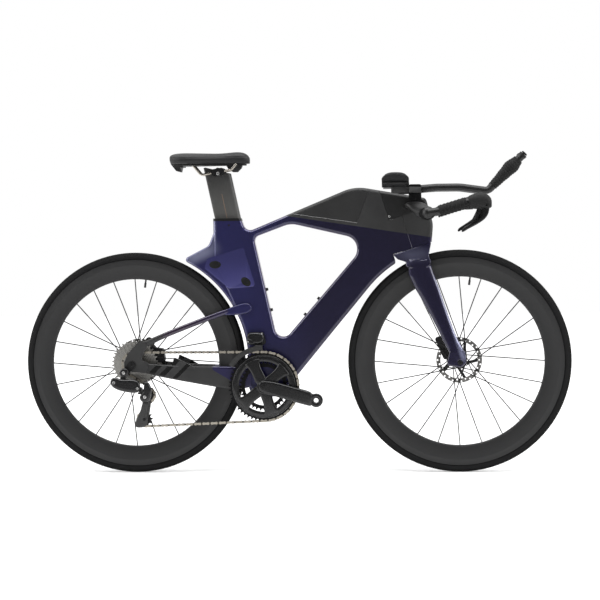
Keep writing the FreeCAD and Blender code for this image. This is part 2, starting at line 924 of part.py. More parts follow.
def frame_block():
    rear_bend = arch_corner(rear_point, rear_arch, 0, rear_arch_turn)
    climb = (rear_bend.x - seat_tube_rear) / math.tan(math.radians(rear_arch_turn))
    bend_top = V(seat_tube_rear, 0, rear_bend.z + climb)
    relief = head_place(*head_outline_shares[-1][:2])
    relief_angle = bearing_of(relief, front_point) - arch_lean(relief) + 180
    front_bend = arch_corner(front_point, front_arch, relief_angle + 90, down_tube_angle + 90)
    outline = [(V(rear_bend.x, 0, frame_floor), shell_drop_radius), (rear_bend, rear_arch)]
    outline.append((bend_top, seat_tube_bend_share * frame_height))
    outline.append((side(seat_tube_rear_share, seat_tube_top_share), seat_tube_corner_share * frame_height))
    outline.extend(scaled(frame_upper_shares))
    outline.extend([(head_place(up, ahead), radius * head_length) for up, ahead, radius in head_outline_shares])
    outline.append((front_bend, front_arch))
    outline.append((heel, shell_drop_radius))
    block = slab(outline, -frame_half, frame_half)
    block = block.cut(slab(main_triangle(), -frame_half - overrun, frame_half + overrun))
    return ease_sides(block, frame_edge_radius, (-frame_half, frame_half))


def tail_fin():
    """Thin tail that the seat tube trails over the rear wheel."""
    corner = arch_corner(rear_point, rear_arch, tail_arch_start, tail_arch_end)
    tip = rear_point + turned(tail_arch_end) * rear_arch + turned(tail_arch_end + 90) * tail_tip_run
    root = rear_point + turned(tail_arch_start) * rear_arch - turned(tail_arch_start + 90) * tail_root_run
    outline = [(corner, rear_arch), (tip, tail_tip_share * frame_height)]
    for turn, (out, radius) in zip(tail_upper_turns, tail_upper_shares):
        outline.append((tail_place(turn, out), radius * frame_height))
    outline.append((root, tail_tip_share * frame_height))
    half = tail_width / 2
    return ease_sides(slab(outline, -half, half), tail_edge_radius, (-half, half))


def steer_cylinder(radius, low, high):
    return Part.makeCylinder(radius, high - low, steer(low, 0), steer_up)


def ahead_box(low, high):
    """Everything ahead of the steering axis between two heights along it."""
    corners = [steer(low, 0, -head_reach), steer(low, head_reach, -head_reach), steer(low, head_reach, head_reach),
               steer(low, 0, head_reach)]
    return prism([(corner, 0) for corner in corners], steer_up * (high - low))


def post_blade(low, high, grow):
    """Blade of the seat post between two heights up the seat tube, grown by a clearance."""
    centre = bracket_point + seat_up * low
    nose = centre + seat_ahead * (post_chord / 2 - post_nose)
    tail = centre - seat_ahead * (post_chord / 2 - post_tail)
    section = strap_wire(nose, post_nose + grow, tail, post_tail + grow, along_y)
    return Part.Face(section).extrude(seat_up * (high - low))


def above_box_seam(shift):
    """Space over the top box floor and behind its front seam, moved in by a shift."""
    along, below = box_rear_shares
    rear = junction + top_tube_run * along - along_z * (below * frame_height)
    corner = head_place(*box_corner_share)
    front = head_place(*box_front_share)
    floor_normal = (corner - rear).cross(along_y).normalize() * -1
    front_normal = (front - corner).cross(along_y).normalize()
    if floor_normal.z < 0:
        floor_normal = floor_normal * -1
    if front_normal.x > 0:
        front_normal = front_normal * -1
    over = half_space(corner + floor_normal * shift, floor_normal, wheel_base)
    behind = half_space(corner + front_normal * shift, front_normal, wheel_base)
    return over.common(behind)


block = frame_block()
upper_end = stem_floor + head_reach
ahead_all = ahead_box(crown_height - head_reach, upper_end)
head_core = steer_cylinder(head_radius, crown_height + part_gap, stem_floor)
fork_space = steer_cylinder(crown_sweep_radius + part_gap * 2, crown_height - head_reach, crown_height + part_gap)
stem_space = steer_cylinder(stem_round_radius + part_gap * 2, stem_floor, upper_end)
top_box = block.common(above_box_seam(box_seam)).cut(ahead_all).cut(stem_space)
frame = block.cut(ahead_all.cut(head_core)).cut(fork_space).cut(stem_space)
frame = frame.cut(above_box_seam(0))
frame = frame.fuse(tail_fin())
frame = frame.fuse(peg(bracket_point, shell_radius, -shell_half, shell_half))
over_seat = half_space(V(0, 0, seat_top), along_z, wheel_base)
over_collar = half_space(V(0, 0, seat_top - collar_height), along_z, wheel_base)
collar_zone = half_space(V(side(frame_upper_shares[1][0], 0).x, 0, 0), along_x * -1, wheel_base)
collar = frame.common(over_collar).common(collar_zone).cut(over_seat)
frame = frame.cut(over_collar.common(collar_zone))
socket = post_blade(post_socket, frame_height + head_reach, side_gap)
frame = frame.cut(socket)
collar = collar.cut(socket)
frame = frame.cut(peg(bracket_point, cup_radius, -shell_half - overrun, shell_half + overrun))
frame = frame.cut(steer_cylinder(head_bore_radius, crown_height - head_reach, upper_end))
frame = frame.cut(steer_cylinder(bearing_radius, crown_height, crown_height + part_gap + bearing_height))
frame = frame.cut(steer_cylinder(bearing_radius, stem_floor - bearing_height, stem_floor + overrun))


# Storage hatch with its pocket and latches on the drive side

hatch_points = [tail_place(turn, out) for turn, out in zip(hatch_tail_turns, hatch_tail_shares)]
hatch_points.extend([side(*share) for share in hatch_front_shares])
hatch_centre = sum(hatch_points, V(0, 0, 0)) / len(hatch_points)


def hatch_outline(scale, grow):
    corners = []
    for point in hatch_points:
        spoke = (point - hatch_centre) * scale
        corners.append((hatch_centre + spoke + V(spoke).normalize() * grow, hatch_corner_share * frame_height))
    return corners


rear_latch_reach = (hatch_points[1] - hatch_centre) * rear_latch_shares[0]
rear_latch_reach = rear_latch_reach + (hatch_points[2] - hatch_centre) * rear_latch_shares[1]
latch_places = (hatch_centre + rear_latch_reach, hatch_centre + (hatch_points[4] - hatch_centre) * front_latch_share)


recess_floor = hatch_depth - frame_half
frame = frame.cut(slab(hatch_outline(1, hatch_gap), -frame_half - overrun, recess_floor))
frame = frame.cut(slab(hatch_outline(hatch_ledge_share, 0), -frame_half - overrun, hatch_pocket_depth - frame_half))
hatch = slab(hatch_outline(1, 0), -frame_half, recess_floor)
latches = []
for place, angle in zip(latch_places, latch_angles):
    tip = place + turned(angle) * (latch_length - latch_radius)
    wide = turned(angle + 90) * latch_radius
    narrow = wide / 2
    outline = [(place + wide, latch_radius / 2), (tip + narrow, latch_radius / 3), (tip - narrow, latch_radius / 3),
               (place - wide, latch_radius / 2)]
    low = -frame_half - side_gap - latch_height
    latch = slab(outline, low, low + latch_height).fuse(peg(place, latch_radius, low, low + latch_height))
    latch = latch.fuse(peg(place, latch_pin_radius, low, recess_floor - side_gap))
    latches.append(latch.removeSplitter())
    hatch = hatch.cut(peg(place, latch_pin_radius + run_gap, -frame_half - overrun, recess_floor + overrun))
export(hatch, "storage_hatch")
export(latches[0], "hatch_latch_rear")
export(latches[1], "hatch_latch_front")


# Bottle bosses on the seat tube and the down tube, and the seat clamp bolt

triangle = [point for point, radius in main_triangle()]
inner_point = (triangle[0] + triangle[2] + triangle[3]) * (1 / 3)
inserts = []
for first, second, share in ((triangle[3], triangle[0], seat_boss_share), (triangle[3], triangle[2], down_boss_share)):
    run = (second - first).normalize()
    inward = run.cross(along_y).normalize()
    if inward.dot(inner_point - first) < 0:
        inward = inward * -1
    for step in (0, boss_spacing):
        mouth = first + (second - first) * share + run * step
        shank = rod(mouth - inward * boss_depth, mouth, boss_radius)
        flange = rod(mouth, mouth + inward * boss_flange, boss_flange_radius)
        bore = rod(mouth - inward * (boss_depth + overrun), mouth + inward * overrun, boss_bore_radius)
        frame = frame.cut(shank)
        inserts.append(shank.fuse(flange).cut(bore).removeSplitter())

bolt_place = side(*seat_bolt_share)
bolt = peg(bolt_place, seat_bolt_radius, -frame_half, seat_bolt_depth - frame_half)
frame = frame.cut(bolt)
socket_depth = seat_bolt_depth / 2
bolt = bolt.cut(peg(bolt_place, seat_bolt_radius / 2, -frame_half - overrun, socket_depth - frame_half))
inserts.append(bolt)
export(Part.makeCompound(inserts), "frame_inserts")
export(collar, "seat_collar")
export(top_box, "top_box")


# Bearings

cups = []
for hand in (-1, 1):
    outer_end = shell_half + cup_flange
    body = ring(bracket_point, cup_radius, spindle_radius + run_gap, shell_half - cup_depth, shell_half)
    lip = ring(bracket_point, cup_flange_radius, spindle_radius + run_gap, shell_half, outer_end)
    cup = body.fuse(lip).removeSplitter()
    cups.append(cup if hand > 0 else mirrored(cup))
bearings = cups
for low in (crown_height + part_gap, stem_floor - bearing_height):
    race = steer_cylinder(bearing_radius, low, low + bearing_height)
    bearings.append(race.cut(steer_cylinder(steerer_radius + run_gap, low - overrun, low + bearing_height + overrun)))
export(Part.makeCompound(bearings), "frame_bearings")


# Stays, each cut to seat against the main frame

def stay_place(back, up):
    """Side view point behind the bottom bracket by a share of the rear span."""
    return V(bracket_x - back * rear_span, 0, bracket_z + up * frame_height)


def loft(sections):
    return Part.makeLoft(sections, True, False)


stay_sections = []
for back, out, thick, low, high in chain_stay_shares:
    lower = stay_place(back, low)
    upper = stay_place(back, high)
    centre = (lower + upper) / 2 - along_y * (out * rear_half)
    thickness = thick * chain_stay_thickness
    stay_sections.append(box_wire(centre, along_y * (thickness / 2), (upper - lower) / 2,
                                  thickness * stay_corner_share))
chain_stay = loft(stay_sections)
dropout_outer = rear_half + dropout_thickness
dropout = slab([(stay_place(back, up), radius * frame_height) for back, up, radius in dropout_shares],
               -dropout_outer, -rear_half)
fin_mid = -stay_fin_y_share * rear_half
fin = slab([(stay_place(back, up), radius * frame_height) for back, up, radius in stay_fin_shares],
           fin_mid - stay_fin_thickness / 2, fin_mid + stay_fin_thickness / 2)
chain_stay = chain_stay.fuse(dropout).fuse(fin)
chain_stay = chain_stay.cut(peg(rear_point, axle_radius, -dropout_outer - overrun, overrun))

seat_stay_sections = []
for back, up, out, tall in seat_stay_shares:
    centre = stay_place(back, up) - along_y * (out * rear_half)
    seat_stay_sections.append(oval(centre, along_z * (tall * frame_height), along_y * (seat_stay_depth / 2)))
seat_stay = loft(seat_stay_sections)

chain_stay = chain_stay.cut(frame)
seat_stay = seat_stay.cut(frame).cut(chain_stay)


def largest(shape):
    """The biggest solid of a cut shape."""
    return max(shape.Solids, key=lambda solid: solid.Volume)


export(frame, "main_frame")
export(pair(largest(chain_stay)), "chain_stays")
export(pair(largest(seat_stay)), "seat_stays")
export(thru_axle(rear_point, -dropout_outer - hanger_thickness, dropout_outer), "rear_thru_axle")


# Fork and nose

leg_wires = []
for up, sweep, chord, out, thick in leg_shares:
    centre = V(front_x - sweep * leg_sweep, -out * front_half, hub_z + up * leg_height)
    leg_wires.append(oval(centre, along_x * (chord * leg_chord / 2), along_y * (thick * leg_thickness / 2)))
leg = loft(leg_wires)
foot = slab([(V(front_x - back * leg_sweep, 0, hub_z + up * leg_height), radius * leg_height)
             for back, up, radius in fork_foot_shares], -front_half - fork_foot_thickness, -front_half)
leg = leg.fuse(foot)

crown_outline = [(steer(crown_height, -crown_rear), tiny * 2), (steer(crown_height, crown_front), tiny * 2)]
for back, up, radius in crown_shares:
    crown_outline.append((V(front_x - back * leg_sweep, 0, hub_z + up * leg_height), radius * leg_height))
crown_half = crown_half_share * front_half
crown = slab(crown_outline, -crown_half, crown_half)
neck = crown_neck_share * leg_height
front_view = [(steer(crown_height, -head_reach, y), 0) for y in (-frame_half, frame_half)]
front_view.append((steer(crown_height - neck, -head_reach, crown_half), neck / 2))
front_view.append((steer(crown_height - head_reach, -head_reach, crown_half), 0))
front_view.append((steer(crown_height - head_reach, -head_reach, -crown_half), 0))
front_view.append((steer(crown_height - neck, -head_reach, -crown_half), neck / 2))
crown = crown.common(prism(front_view, steer_ahead * (head_reach * 2)))
fork_zone = ahead_box(crown_height - head_reach, crown_height).fuse(
    steer_cylinder(crown_sweep_radius, crown_height - head_reach, crown_height))
crown = crown.common(fork_zone)
fork = crown.fuse(leg).fuse(mirrored(leg))
fork = fork.cut(peg(front_point, tyre_radius + crown_tyre_gap, -tyre_slot, tyre_slot))
fork = fork.fuse(steer_cylinder(steerer_radius, crown_height - bearing_height, stem_floor + steerer_top))
fork = fork.cut(peg(front_point, axle_radius, -front_hub_width, front_hub_width))
fork_outer = front_half + fork_foot_thickness
export(thru_axle(front_point, -fork_outer, fork_outer), "front_thru_axle")
nose = block.common(ahead_box(crown_height, stem_floor + part_gap))
nose = nose.cut(steer_cylinder(head_radius + part_gap * 2, crown_height - overrun, stem_floor + head_reach))
export(fork, "fork")
export(largest(nose), "nose_fairing")


# Stem and base bar

bar_middle = steer(stem_floor + bar_lift, bar_reach)
horn_start = bar_middle + V(horn_ahead, -horn_y, -horn_below)
horn_knee = horn_start + V(horn_lead, 0, horn_lead_rise)
horn_end = horn_knee + V(horn_length, 0, horn_rise)


def bar_wire(y_share, hand, sweep, drop, chord, tall):
    centre = bar_middle + along_y * (hand * y_share * bar_half_width)
    centre = centre + along_x * (sweep * bar_sweep) + along_z * (drop * bar_drop)
    return oval(centre, along_x * (chord * bar_chord / 2), along_z * (tall * bar_height / 2))


right_wires = [bar_wire(share[0], -1, *share[1:]) for share in reversed(bar_shares)]
left_wires = [bar_wire(share[0], 1, *share[1:]) for share in bar_shares[1:]]
wing = loft(right_wires + left_wires)
horn = piped([(horn_start, 0), (horn_knee, horn_bend), (horn_end, 0)], horn_radius)
elbow = Part.makeSphere(horn_radius * horn_elbow_share, horn_start + along_y * horn_radius)
horn = horn.fuse(elbow)
base_bar = wing.fuse(horn).fuse(mirrored(horn))
stem_zone = ahead_box(stem_floor + part_gap, upper_end).fuse(
    steer_cylinder(stem_round_radius, stem_floor + part_gap, upper_end))
stem = block.common(stem_zone)
stem = stem.cut(steer_cylinder(steerer_radius, stem_floor - overrun, stem_floor + steerer_top))
stem = stem.cut(base_bar)
export(largest(stem), "stem")

horn_run = horn_end - horn_knee
horn_way = V(horn_run).normalize()


def turned_on(start, way, profile):
    """Solid of revolution about a line from profile steps of (along, radius)."""
    side_way = way.cross(along_y).normalize()
    points = [start + way * along + side_way * radius for along, radius in profile]
    points.append(start + way * profile[-1][0])
    points.append(start + way * profile[0][0])
    return Part.Face(rounded_wire([(point, 0) for point in points])).revolve(start, way, 360)


tape_from = tape_start_share * horn_run.Length + horn_bend / 2
tape_to = tape_end_share * horn_run.Length
tape_profile = []
for number in range(tape_ribs * 2 + 1):
    along = tape_from + (tape_to - tape_from) * number / (tape_ribs * 2)
    swell = tape_rib_height if number % 2 else 0
    tape_profile.append((along, horn_radius + tape_thickness + swell))
tape = turned_on(horn_knee, horn_way, tape_profile).cut(base_bar)
export(pair(largest(tape)), "bar_tapes")

hood_wires = []
for along, rise, tall, wide in hood_shares:
    centre = horn_end + along_x * (along * hood_length) + along_z * (rise * hood_height)
    hood_wires.append(oval(centre, along_z * (tall * hood_height / 2), along_y * (wide * hood_width / 2)))
lever_pivot = V(horn_end.x + lever_pivot_share[0] * hood_length, 0, horn_end.z + lever_pivot_share[1] * hood_height)
lever_half = lever_thickness / 2
slot_half = lever_half + lever_slot_gap
hood_slot = slab([(lever_pivot + V(across, 0, up) * lever_length, 0) for across, up in slot_shares],
                 -horn_y - slot_half, slot_half - horn_y)
lever_pin = peg(lever_pivot, lever_pin_radius, -horn_y - slot_half, slot_half - horn_y)
hood = loft(hood_wires).cut(hood_slot).cut(base_bar)
hood = largest(hood).fuse(lever_pin)
export(pair(hood), "brake_hoods")
lever = slab([(lever_pivot + V(across, 0, up) * lever_length, radius * lever_length)
              for across, up, radius in lever_shares], -horn_y - lever_half, lever_half - horn_y)
lever = ease_sides(lever, lever_half / 3, (-horn_y - lever_half, lever_half - horn_y))
lever = lever.cut(peg(lever_pivot, lever_pin_radius + run_gap, -horn_y - lever_half - overrun, overrun))
export(lever, "brake_lever_right")
export(mirrored(lever), "brake_lever_left")


# Extensions, grips and shift buttons

extension_points = []
for ahead, up, bend in extension_shares:
    place = bar_middle + V(ahead * extension_reach, -extension_y, up * extension_rise)
    extension_points.append((place, bend * extension_bend))
tip_point = bar_middle + V(extension_reach, -extension_y, extension_rise)
extension = piped(extension_points + [(tip_point, 0)], extension_radius)
elbow_point = extension_points[-1][0]
grip_run = tip_point - elbow_point
grip_way = V(grip_run).normalize()
grip_from = grip_start_share * grip_run.Length
grip_to = grip_end_share * grip_run.Length
grip_base = extension_radius + run_gap
grip_wires = []
for along, swell in grip_shares:
    centre = elbow_point + grip_way * (grip_from + along * (grip_to - grip_from))
    grip_wires.append(Part.Wire(Part.Circle(centre, grip_way, grip_base + swell * grip_swell).toShape()))
grip = loft(grip_wires).cut(rod(elbow_point + grip_way * (grip_from - overrun), tip_point, grip_base))
export(pair(grip), "extension_grips")
export(pair(extension), "extensions")
pod_top = tip_point + grip_way * pod_length
button_gap = side_gap + button_travel
button_root = pod_top + grip_way * button_gap
pod = rod(tip_point, pod_top, pod_radius)
pod = pod.cut(rod(pod_top - grip_way * (button_stem + button_gap), pod_top + grip_way * overrun,
                  button_stem_radius + run_gap))
export(pair(pod), "shifter_pods")
button = rod(button_root, button_root + grip_way * button_height, button_radius)
button = button.makeFillet(button_height / 2, [button.Edges[0]])
button_neck = button_root + grip_way * (button_height / 2)
button = button.fuse(rod(button_root - grip_way * button_stem, button_neck, button_stem_radius))
export(button.removeSplitter(), "shift_button_right")
export(mirrored(button.removeSplitter()), "shift_button_left")

riser_y = -extension_y - riser_width / 2
riser_front = bar_middle.x + riser_ahead
riser_rear = riser_front - riser_length
riser_top = bar_middle.z + riser_rise
riser_low = riser_top - riser_height
riser_corners = [V(riser_rear, 0, riser_low), V(riser_rear, 0, riser_top), V(riser_front, 0, riser_top),
                 V(riser_front, 0, riser_low)]
riser = slab([(corner, riser_corner) for corner in riser_corners], riser_y, riser_y + riser_width)
riser = riser.cut(base_bar).cut(extension)
riser = max(riser.Solids, key=lambda solid: solid.BoundBox.ZMax)
export(pair(riser), "extension_risers")
export(base_bar, "base_bar")


# Arm rests: a curved cup on a bracket from the riser, and a cushion in the cup

cup_front = bar_middle.x - cup_behind
cup_rear = cup_front - cup_length
cup_bottom = bar_middle.z + cup_rise


def trough(x, outer, inner, sweep):
    """Ring sector in a plane across the bike, open upward."""
    centre = V(x, -cup_y, cup_bottom + cup_outer_radius)

    def at(radius, angle):
        return centre + V(0, math.sin(math.radians(angle)), -math.cos(math.radians(angle))) * radius

    low = Part.Arc(at(outer, -sweep), at(outer, 0), at(outer, sweep)).toShape()
    high = Part.Arc(at(inner, sweep), at(inner, 0), at(inner, -sweep)).toShape()
    first = Part.LineSegment(at(outer, sweep), at(inner, sweep)).toShape()
    last = Part.LineSegment(at(inner, -sweep), at(outer, -sweep)).toShape()
    return Part.Wire([low, first, high, last])


cup_inner_radius = cup_outer_radius - cup_thickness
cup = Part.Face(trough(cup_rear, cup_outer_radius, cup_inner_radius, cup_sweep)).extrude(along_x * (cup_front - cup_rear))
pad_outer = cup_inner_radius - side_gap
pad_wires = []
pad_span = cup_front - cup_rear + pad_overhang * 2
for along, thin in ((0, pad_end_share), (pad_mid_share / 2, pad_mid_share), (0.5, 0), (1 - pad_mid_share / 2, pad_mid_share),
                    (1, pad_end_share)):
    inner = pad_outer - pad_thickness * (1 - thin / 2)
    sweep = pad_sweep * (1 - thin / 10)
    pad_wires.append(trough(cup_rear - pad_overhang + along * pad_span, pad_outer - pad_thickness * thin / 4, inner, sweep))
export(pair(loft(pad_wires)), "arm_pads")

bracket_outer = cup_y + bracket_width / 4
bracket_top = cup_bottom + cup_thickness / 2
plan = []
for across, out in bracket_shares:
    x = cup_rear + across * (riser_front - cup_rear)
    y = -extension_y - riser_width / 2 - (1 - out) * (bracket_outer - extension_y - riser_width / 2)
    plan.append((V(x, y, bracket_top - bracket_height), bracket_corner if out == 0 else 0))
bracket = prism(plan, along_z * bracket_height)
cup_well = Part.makeCylinder(cup_inner_radius, pad_span * 2, V(cup_rear - pad_span / 2, -cup_y, cup_bottom + cup_outer_radius),
                             along_x)
arm_cup = cup.fuse(bracket.cut(cup_well)).cut(riser).cut(extension).cut(base_bar)
export(pair(largest(arm_cup)), "arm_cups")


# Sprockets and chain

def pitch_radius(teeth):
    return chain_pitch / (2 * math.sin(math.pi / teeth))


def toothed(centre, teeth, phase, low, high):
    """Toothed disc whose valleys hold the rollers; phase is the angle of one valley."""
    pitch = pitch_radius(teeth)
    tip = pitch + tooth_height
    step = 360 / teeth
    half_tip = math.degrees(tooth_tip / 2 / tip)
    edges = []
    for number in range(teeth):
        angle = phase + number * step
        seat = centre + turned(angle) * pitch
        start = seat + turned(angle + 180 + tooth_root_sweep) * tooth_root_radius
        floor = seat + turned(angle + 180) * tooth_root_radius
        end = seat + turned(angle + 180 - tooth_root_sweep) * tooth_root_radius
        first = centre + turned(angle + step / 2 - half_tip) * tip
        last = centre + turned(angle + step / 2 + half_tip) * tip
        onward_seat = centre + turned(angle + step) * pitch
        onward = onward_seat + turned(angle + step + 180 + tooth_root_sweep) * tooth_root_radius
        edges.append(Part.Arc(start, floor, end).toShape())
        edges.append(Part.LineSegment(end, first).toShape())
        edges.append(Part.LineSegment(first, last).toShape())
        edges.append(Part.LineSegment(last, onward).toShape())
    wire = Part.Wire(edges)
    wire.translate(along_y * low)
    return Part.Face(wire).extrude(along_y * (high - low))


guide_point = V(rear_x + guide_ahead, 0, hub_z - guide_below)


def tangent(first, first_radius, first_turn, second, second_radius, second_turn):
    """Straight run of chain between two wheels; turn is 1 where the chain turns clockwise."""
    across = second - first
    away = math.degrees(math.atan2(across.z, across.x))
    lean = math.degrees(math.asin((first_turn * first_radius - second_turn * second_radius) / across.Length))
    normal = turned(away + 90 - lean)
    return first + normal * (first_turn * first_radius), second + normal * (second_turn * second_radius)


def chain_runs(cage_angle):
    """The wheels in the order the chain meets them, and the straight runs between them."""
    tension_point = guide_point + turned(cage_angle) * cage_length
    wheels = ((rear_point, drive_cog, 1), (bracket_point, big_teeth, 1), (tension_point, pulley_teeth, 1),
              (guide_point, pulley_teeth, -1))
    runs = []
    for index, (centre, teeth, turn) in enumerate(wheels):
        onward, onward_teeth, onward_turn = wheels[(index + 1) % len(wheels)]
        runs.append(tangent(centre, pitch_radius(teeth), turn, onward, pitch_radius(onward_teeth), onward_turn))
    return wheels, runs


def chain_pieces(cage_angle):
    """Straight runs and wraps of the chain, each with its length in pitches."""
    wheels, runs = chain_runs(cage_angle)
    pieces = []
    for index, (start, end) in enumerate(runs):
        pieces.append(("run", start, end, (end - start).Length / chain_pitch))
        centre, teeth, turn = wheels[(index + 1) % len(wheels)]
        leave = runs[(index + 1) % len(runs)][0]
        entry = bearing_of(centre, end)
        wrap = (turn * (entry - bearing_of(centre, leave))) % 360
        pieces.append(("wrap", (centre, teeth, turn), entry, wrap * teeth / 360))
    return pieces


def chain_count(cage_angle):
    return sum(piece[3] for piece in chain_pieces(cage_angle))


links = 2 * round(chain_count(cage_angle_guess) / 2)
low_angle = cage_angle_guess - 25
high_angle = cage_angle_guess + 25
for step in range(50):
    middle = (low_angle + high_angle) / 2
    if (chain_count(middle) > links) == (chain_count(high_angle) > links):
        high_angle = middle
    else:
        low_angle = middle
cage_angle = (low_angle + high_angle) / 2
tension_point = guide_point + turned(cage_angle) * cage_length


def roller_place(pieces, count):
    """Roller centre at a count of pitches along the chain."""
    for kind, first, second, length in pieces:
        if count <= length:
            if kind == "run":
                return first + (second - first) * (count / length)
            centre, teeth, turn = first
            return centre + turned(second - turn * count * 360 / teeth) * pitch_radius(teeth)
        count = count - length
    return roller_place(pieces, count)


pieces = chain_pieces(cage_angle)
rollers = [roller_place(pieces, number) for number in range(links)]
phases = {}
travelled = 0
for kind, first, second, length in pieces:
    if kind == "wrap":
        centre, teeth, turn = first
        ahead = math.ceil(travelled) - travelled
        phases[(teeth, round(centre.x))] = second - turn * ahead * 360 / teeth
    travelled = travelled + length


def chain_link(start, end, low, high, bushes):
    """Two side plates joined by a pair of cylinders."""
    near = strap(start, link_end_radius, end, link_end_radius, -chain_y - high, -chain_y - low)
    far = strap(start, link_end_radius, end, link_end_radius, low - chain_y, high - chain_y)
    if bushes:
        for place in (start, end):
            bore = pin_radius + pin_gap
            near = near.cut(peg(place, bore, -chain_y - high - overrun, overrun - chain_y))
            far = far.cut(peg(place, bore, -chain_y - overrun, high + overrun - chain_y))
        barrels = [ring(place, roller_radius, pin_radius + pin_gap, -chain_y - low, low - chain_y) for place in (start, end)]
    else:
        barrels = [peg(place, pin_radius, -chain_y - low, low - chain_y) for place in (start, end)]
    return near.fuse(far).fuse(barrels[0]).fuse(barrels[1])


outer_low = inner_half_width + link_plate + plate_gap
chain = []
for number in range(links):
    start = rollers[number]
    end = rollers[(number + 1) % links]
    if number % 2 == 0:
        chain.append(chain_link(start, end, inner_half_width, inner_half_width + link_plate, True))
    else:
        chain.append(chain_link(start, end, outer_low, outer_low + link_plate, False))
export(Part.makeCompound(chain), "chain")

half_ring = ring_thickness / 2
big_phase = phases[(big_teeth, round(bracket_x))]
big_root = pitch_radius(big_teeth) - big_ring_band
web_face = -chain_y - half_ring - web_thickness
big_ring = toothed(bracket_point, big_teeth, big_phase, -chain_y - half_ring, half_ring - chain_y)
big_ring = big_ring.cut(peg(bracket_point, big_root, -chain_y - overrun, overrun - chain_y))
big_ring = big_ring.fuse(ring(bracket_point, big_root + web_band, big_root, web_face, -chain_y - half_ring))
small_y = small_ring_inset - chain_y
small_ring = toothed(bracket_point, small_teeth, crank_angle, small_y - half_ring, small_y + half_ring)
small_root = pitch_radius(small_teeth) - small_ring_band
small_ring = small_ring.cut(peg(bracket_point, small_root, small_y - overrun, small_y + overrun))
for angle in spider_angles:
    place = bracket_point + turned(crank_angle + angle) * ring_post_circle
    small_ring = small_ring.fuse(peg(place, ring_post_radius, web_face, small_y))
export(Part.makeCompound([big_ring.removeSplitter(), small_ring.removeSplitter()]), "chainrings")

crank_outer = -pedal_face_half
crank_inner = crank_thickness - pedal_face_half
pedal_point = bracket_point + turned(crank_angle) * crank_length


def crank_arm(way):
    """Tapered arm from the bottom bracket to the pedal eye, in the side view."""
    end = bracket_point + way * crank_length
    arm = strap(bracket_point, crank_root_radius, end, crank_end_radius, crank_outer, crank_inner)
    return ease_sides(arm, crank_edge_radius, (crank_outer,))


boss_inner = crank_boss_length - pedal_face_half
right_arm = crank_arm(turned(crank_angle))
spider = peg(bracket_point, crank_boss_radius, crank_inner, boss_inner)
spider_outer = web_face - spider_thickness
for angle in spider_angles:
    way = turned(crank_angle + angle)
    up = way.cross(along_y).normalize()
    tip = bracket_point + way * spider_tip_radius
    outline = [(bracket_point + up * (spider_root_width / 2), 0), (tip + up * (spider_tip_width / 2), spider_tip_width / 4),
               (tip - up * (spider_tip_width / 2), spider_tip_width / 4), (bracket_point - up * (spider_root_width / 2), 0)]
    spider = spider.fuse(slab(outline, spider_outer, web_face))
    place = bracket_point + way * ring_post_circle
    spider = spider.fuse(peg(place, ring_bolt_radius, spider_outer - ring_bolt_height, spider_outer))
spindle = peg(bracket_point, spindle_radius, boss_inner, pedal_face_half - crank_thickness)
right_arm = right_arm.cut(peg(pedal_point, pedal_thread_radius, crank_outer - overrun, crank_inner + overrun))
right_arm = right_arm.fuse(peg(bracket_point, crank_dust_cap_radius, crank_outer - crank_dust_cap, crank_outer + overrun))
export(Part.makeCompound([right_arm.removeSplitter(), spider.removeSplitter(), spindle]), "crank_right")
left_arm = crank_arm(turned(crank_angle + 180))
left_arm = left_arm.fuse(peg(bracket_point, crank_boss_radius, crank_outer + crank_edge_radius, boss_inner))
left_pedal = bracket_point - turned(crank_angle) * crank_length
left_arm = left_arm.cut(peg(left_pedal, pedal_thread_radius, crank_outer - overrun, crank_inner + overrun))
left_arm = left_arm.cut(peg(bracket_point, spindle_radius, crank_inner, boss_inner + overrun))
export(mirrored(left_arm.removeSplitter()), "crank_left")

drive_index = cog_teeth.index(drive_cog)
cogs = []
for index, teeth in enumerate(cog_teeth):
    middle = -chain_y + (index - drive_index) * cog_spacing
    low = middle - cog_thickness / 2
    phase = phases[(drive_cog, round(rear_x))] if teeth == drive_cog else 0
    cog = toothed(rear_point, teeth, phase, low, low + cog_thickness)
    cogs.append(cog.cut(peg(rear_point, freehub_radius, low - overrun, low + cog_thickness + overrun)))
first_low = -chain_y - drive_index * cog_spacing - cog_thickness / 2 - freehub_end
last_high = -rear_drive_flange_y - hub_flange_width - side_gap
cogs.append(ring(rear_point, freehub_radius, hub_cap_radius + run_gap, first_low, last_high))
export(Part.makeCompound(cogs), "cassette")


# Rear derailleur: hanger, fixed body, two links, knuckle, cage and pulleys

hanger_point = V(rear_x - hanger_behind, 0, hub_z - hanger_below)
hanger_outer = -dropout_outer - hanger_thickness
hanger_way = (rear_point - hanger_point).normalize()
hanger_up = hanger_way.cross(along_y).normalize() * hanger_radius
hanger = slab([(hanger_point + hanger_up, 0), (rear_point + hanger_up, 0), (rear_point - hanger_up, 0),
               (hanger_point - hanger_up, 0)], hanger_outer, -dropout_outer)
hanger = hanger.fuse(peg(hanger_point, hanger_radius, hanger_outer, -dropout_outer))
hanger = hanger.fuse(peg(rear_point, hanger_radius, hanger_outer, -dropout_outer))
hanger = hanger.cut(peg(rear_point, axle_radius, hanger_outer - overrun, overrun - dropout_outer))
export(hanger.removeSplitter(), "derailleur_hanger")

pin_x = guide_point.x - link_behind
pin_back_x = pin_x - link_length
boss_low = guide_point.z + knuckle_radius - side_gap
outer_y = hanger_outer - link_spacing / 2
link_ys = (outer_y, outer_y + link_spacing)
link_high = boss_low + link_drop


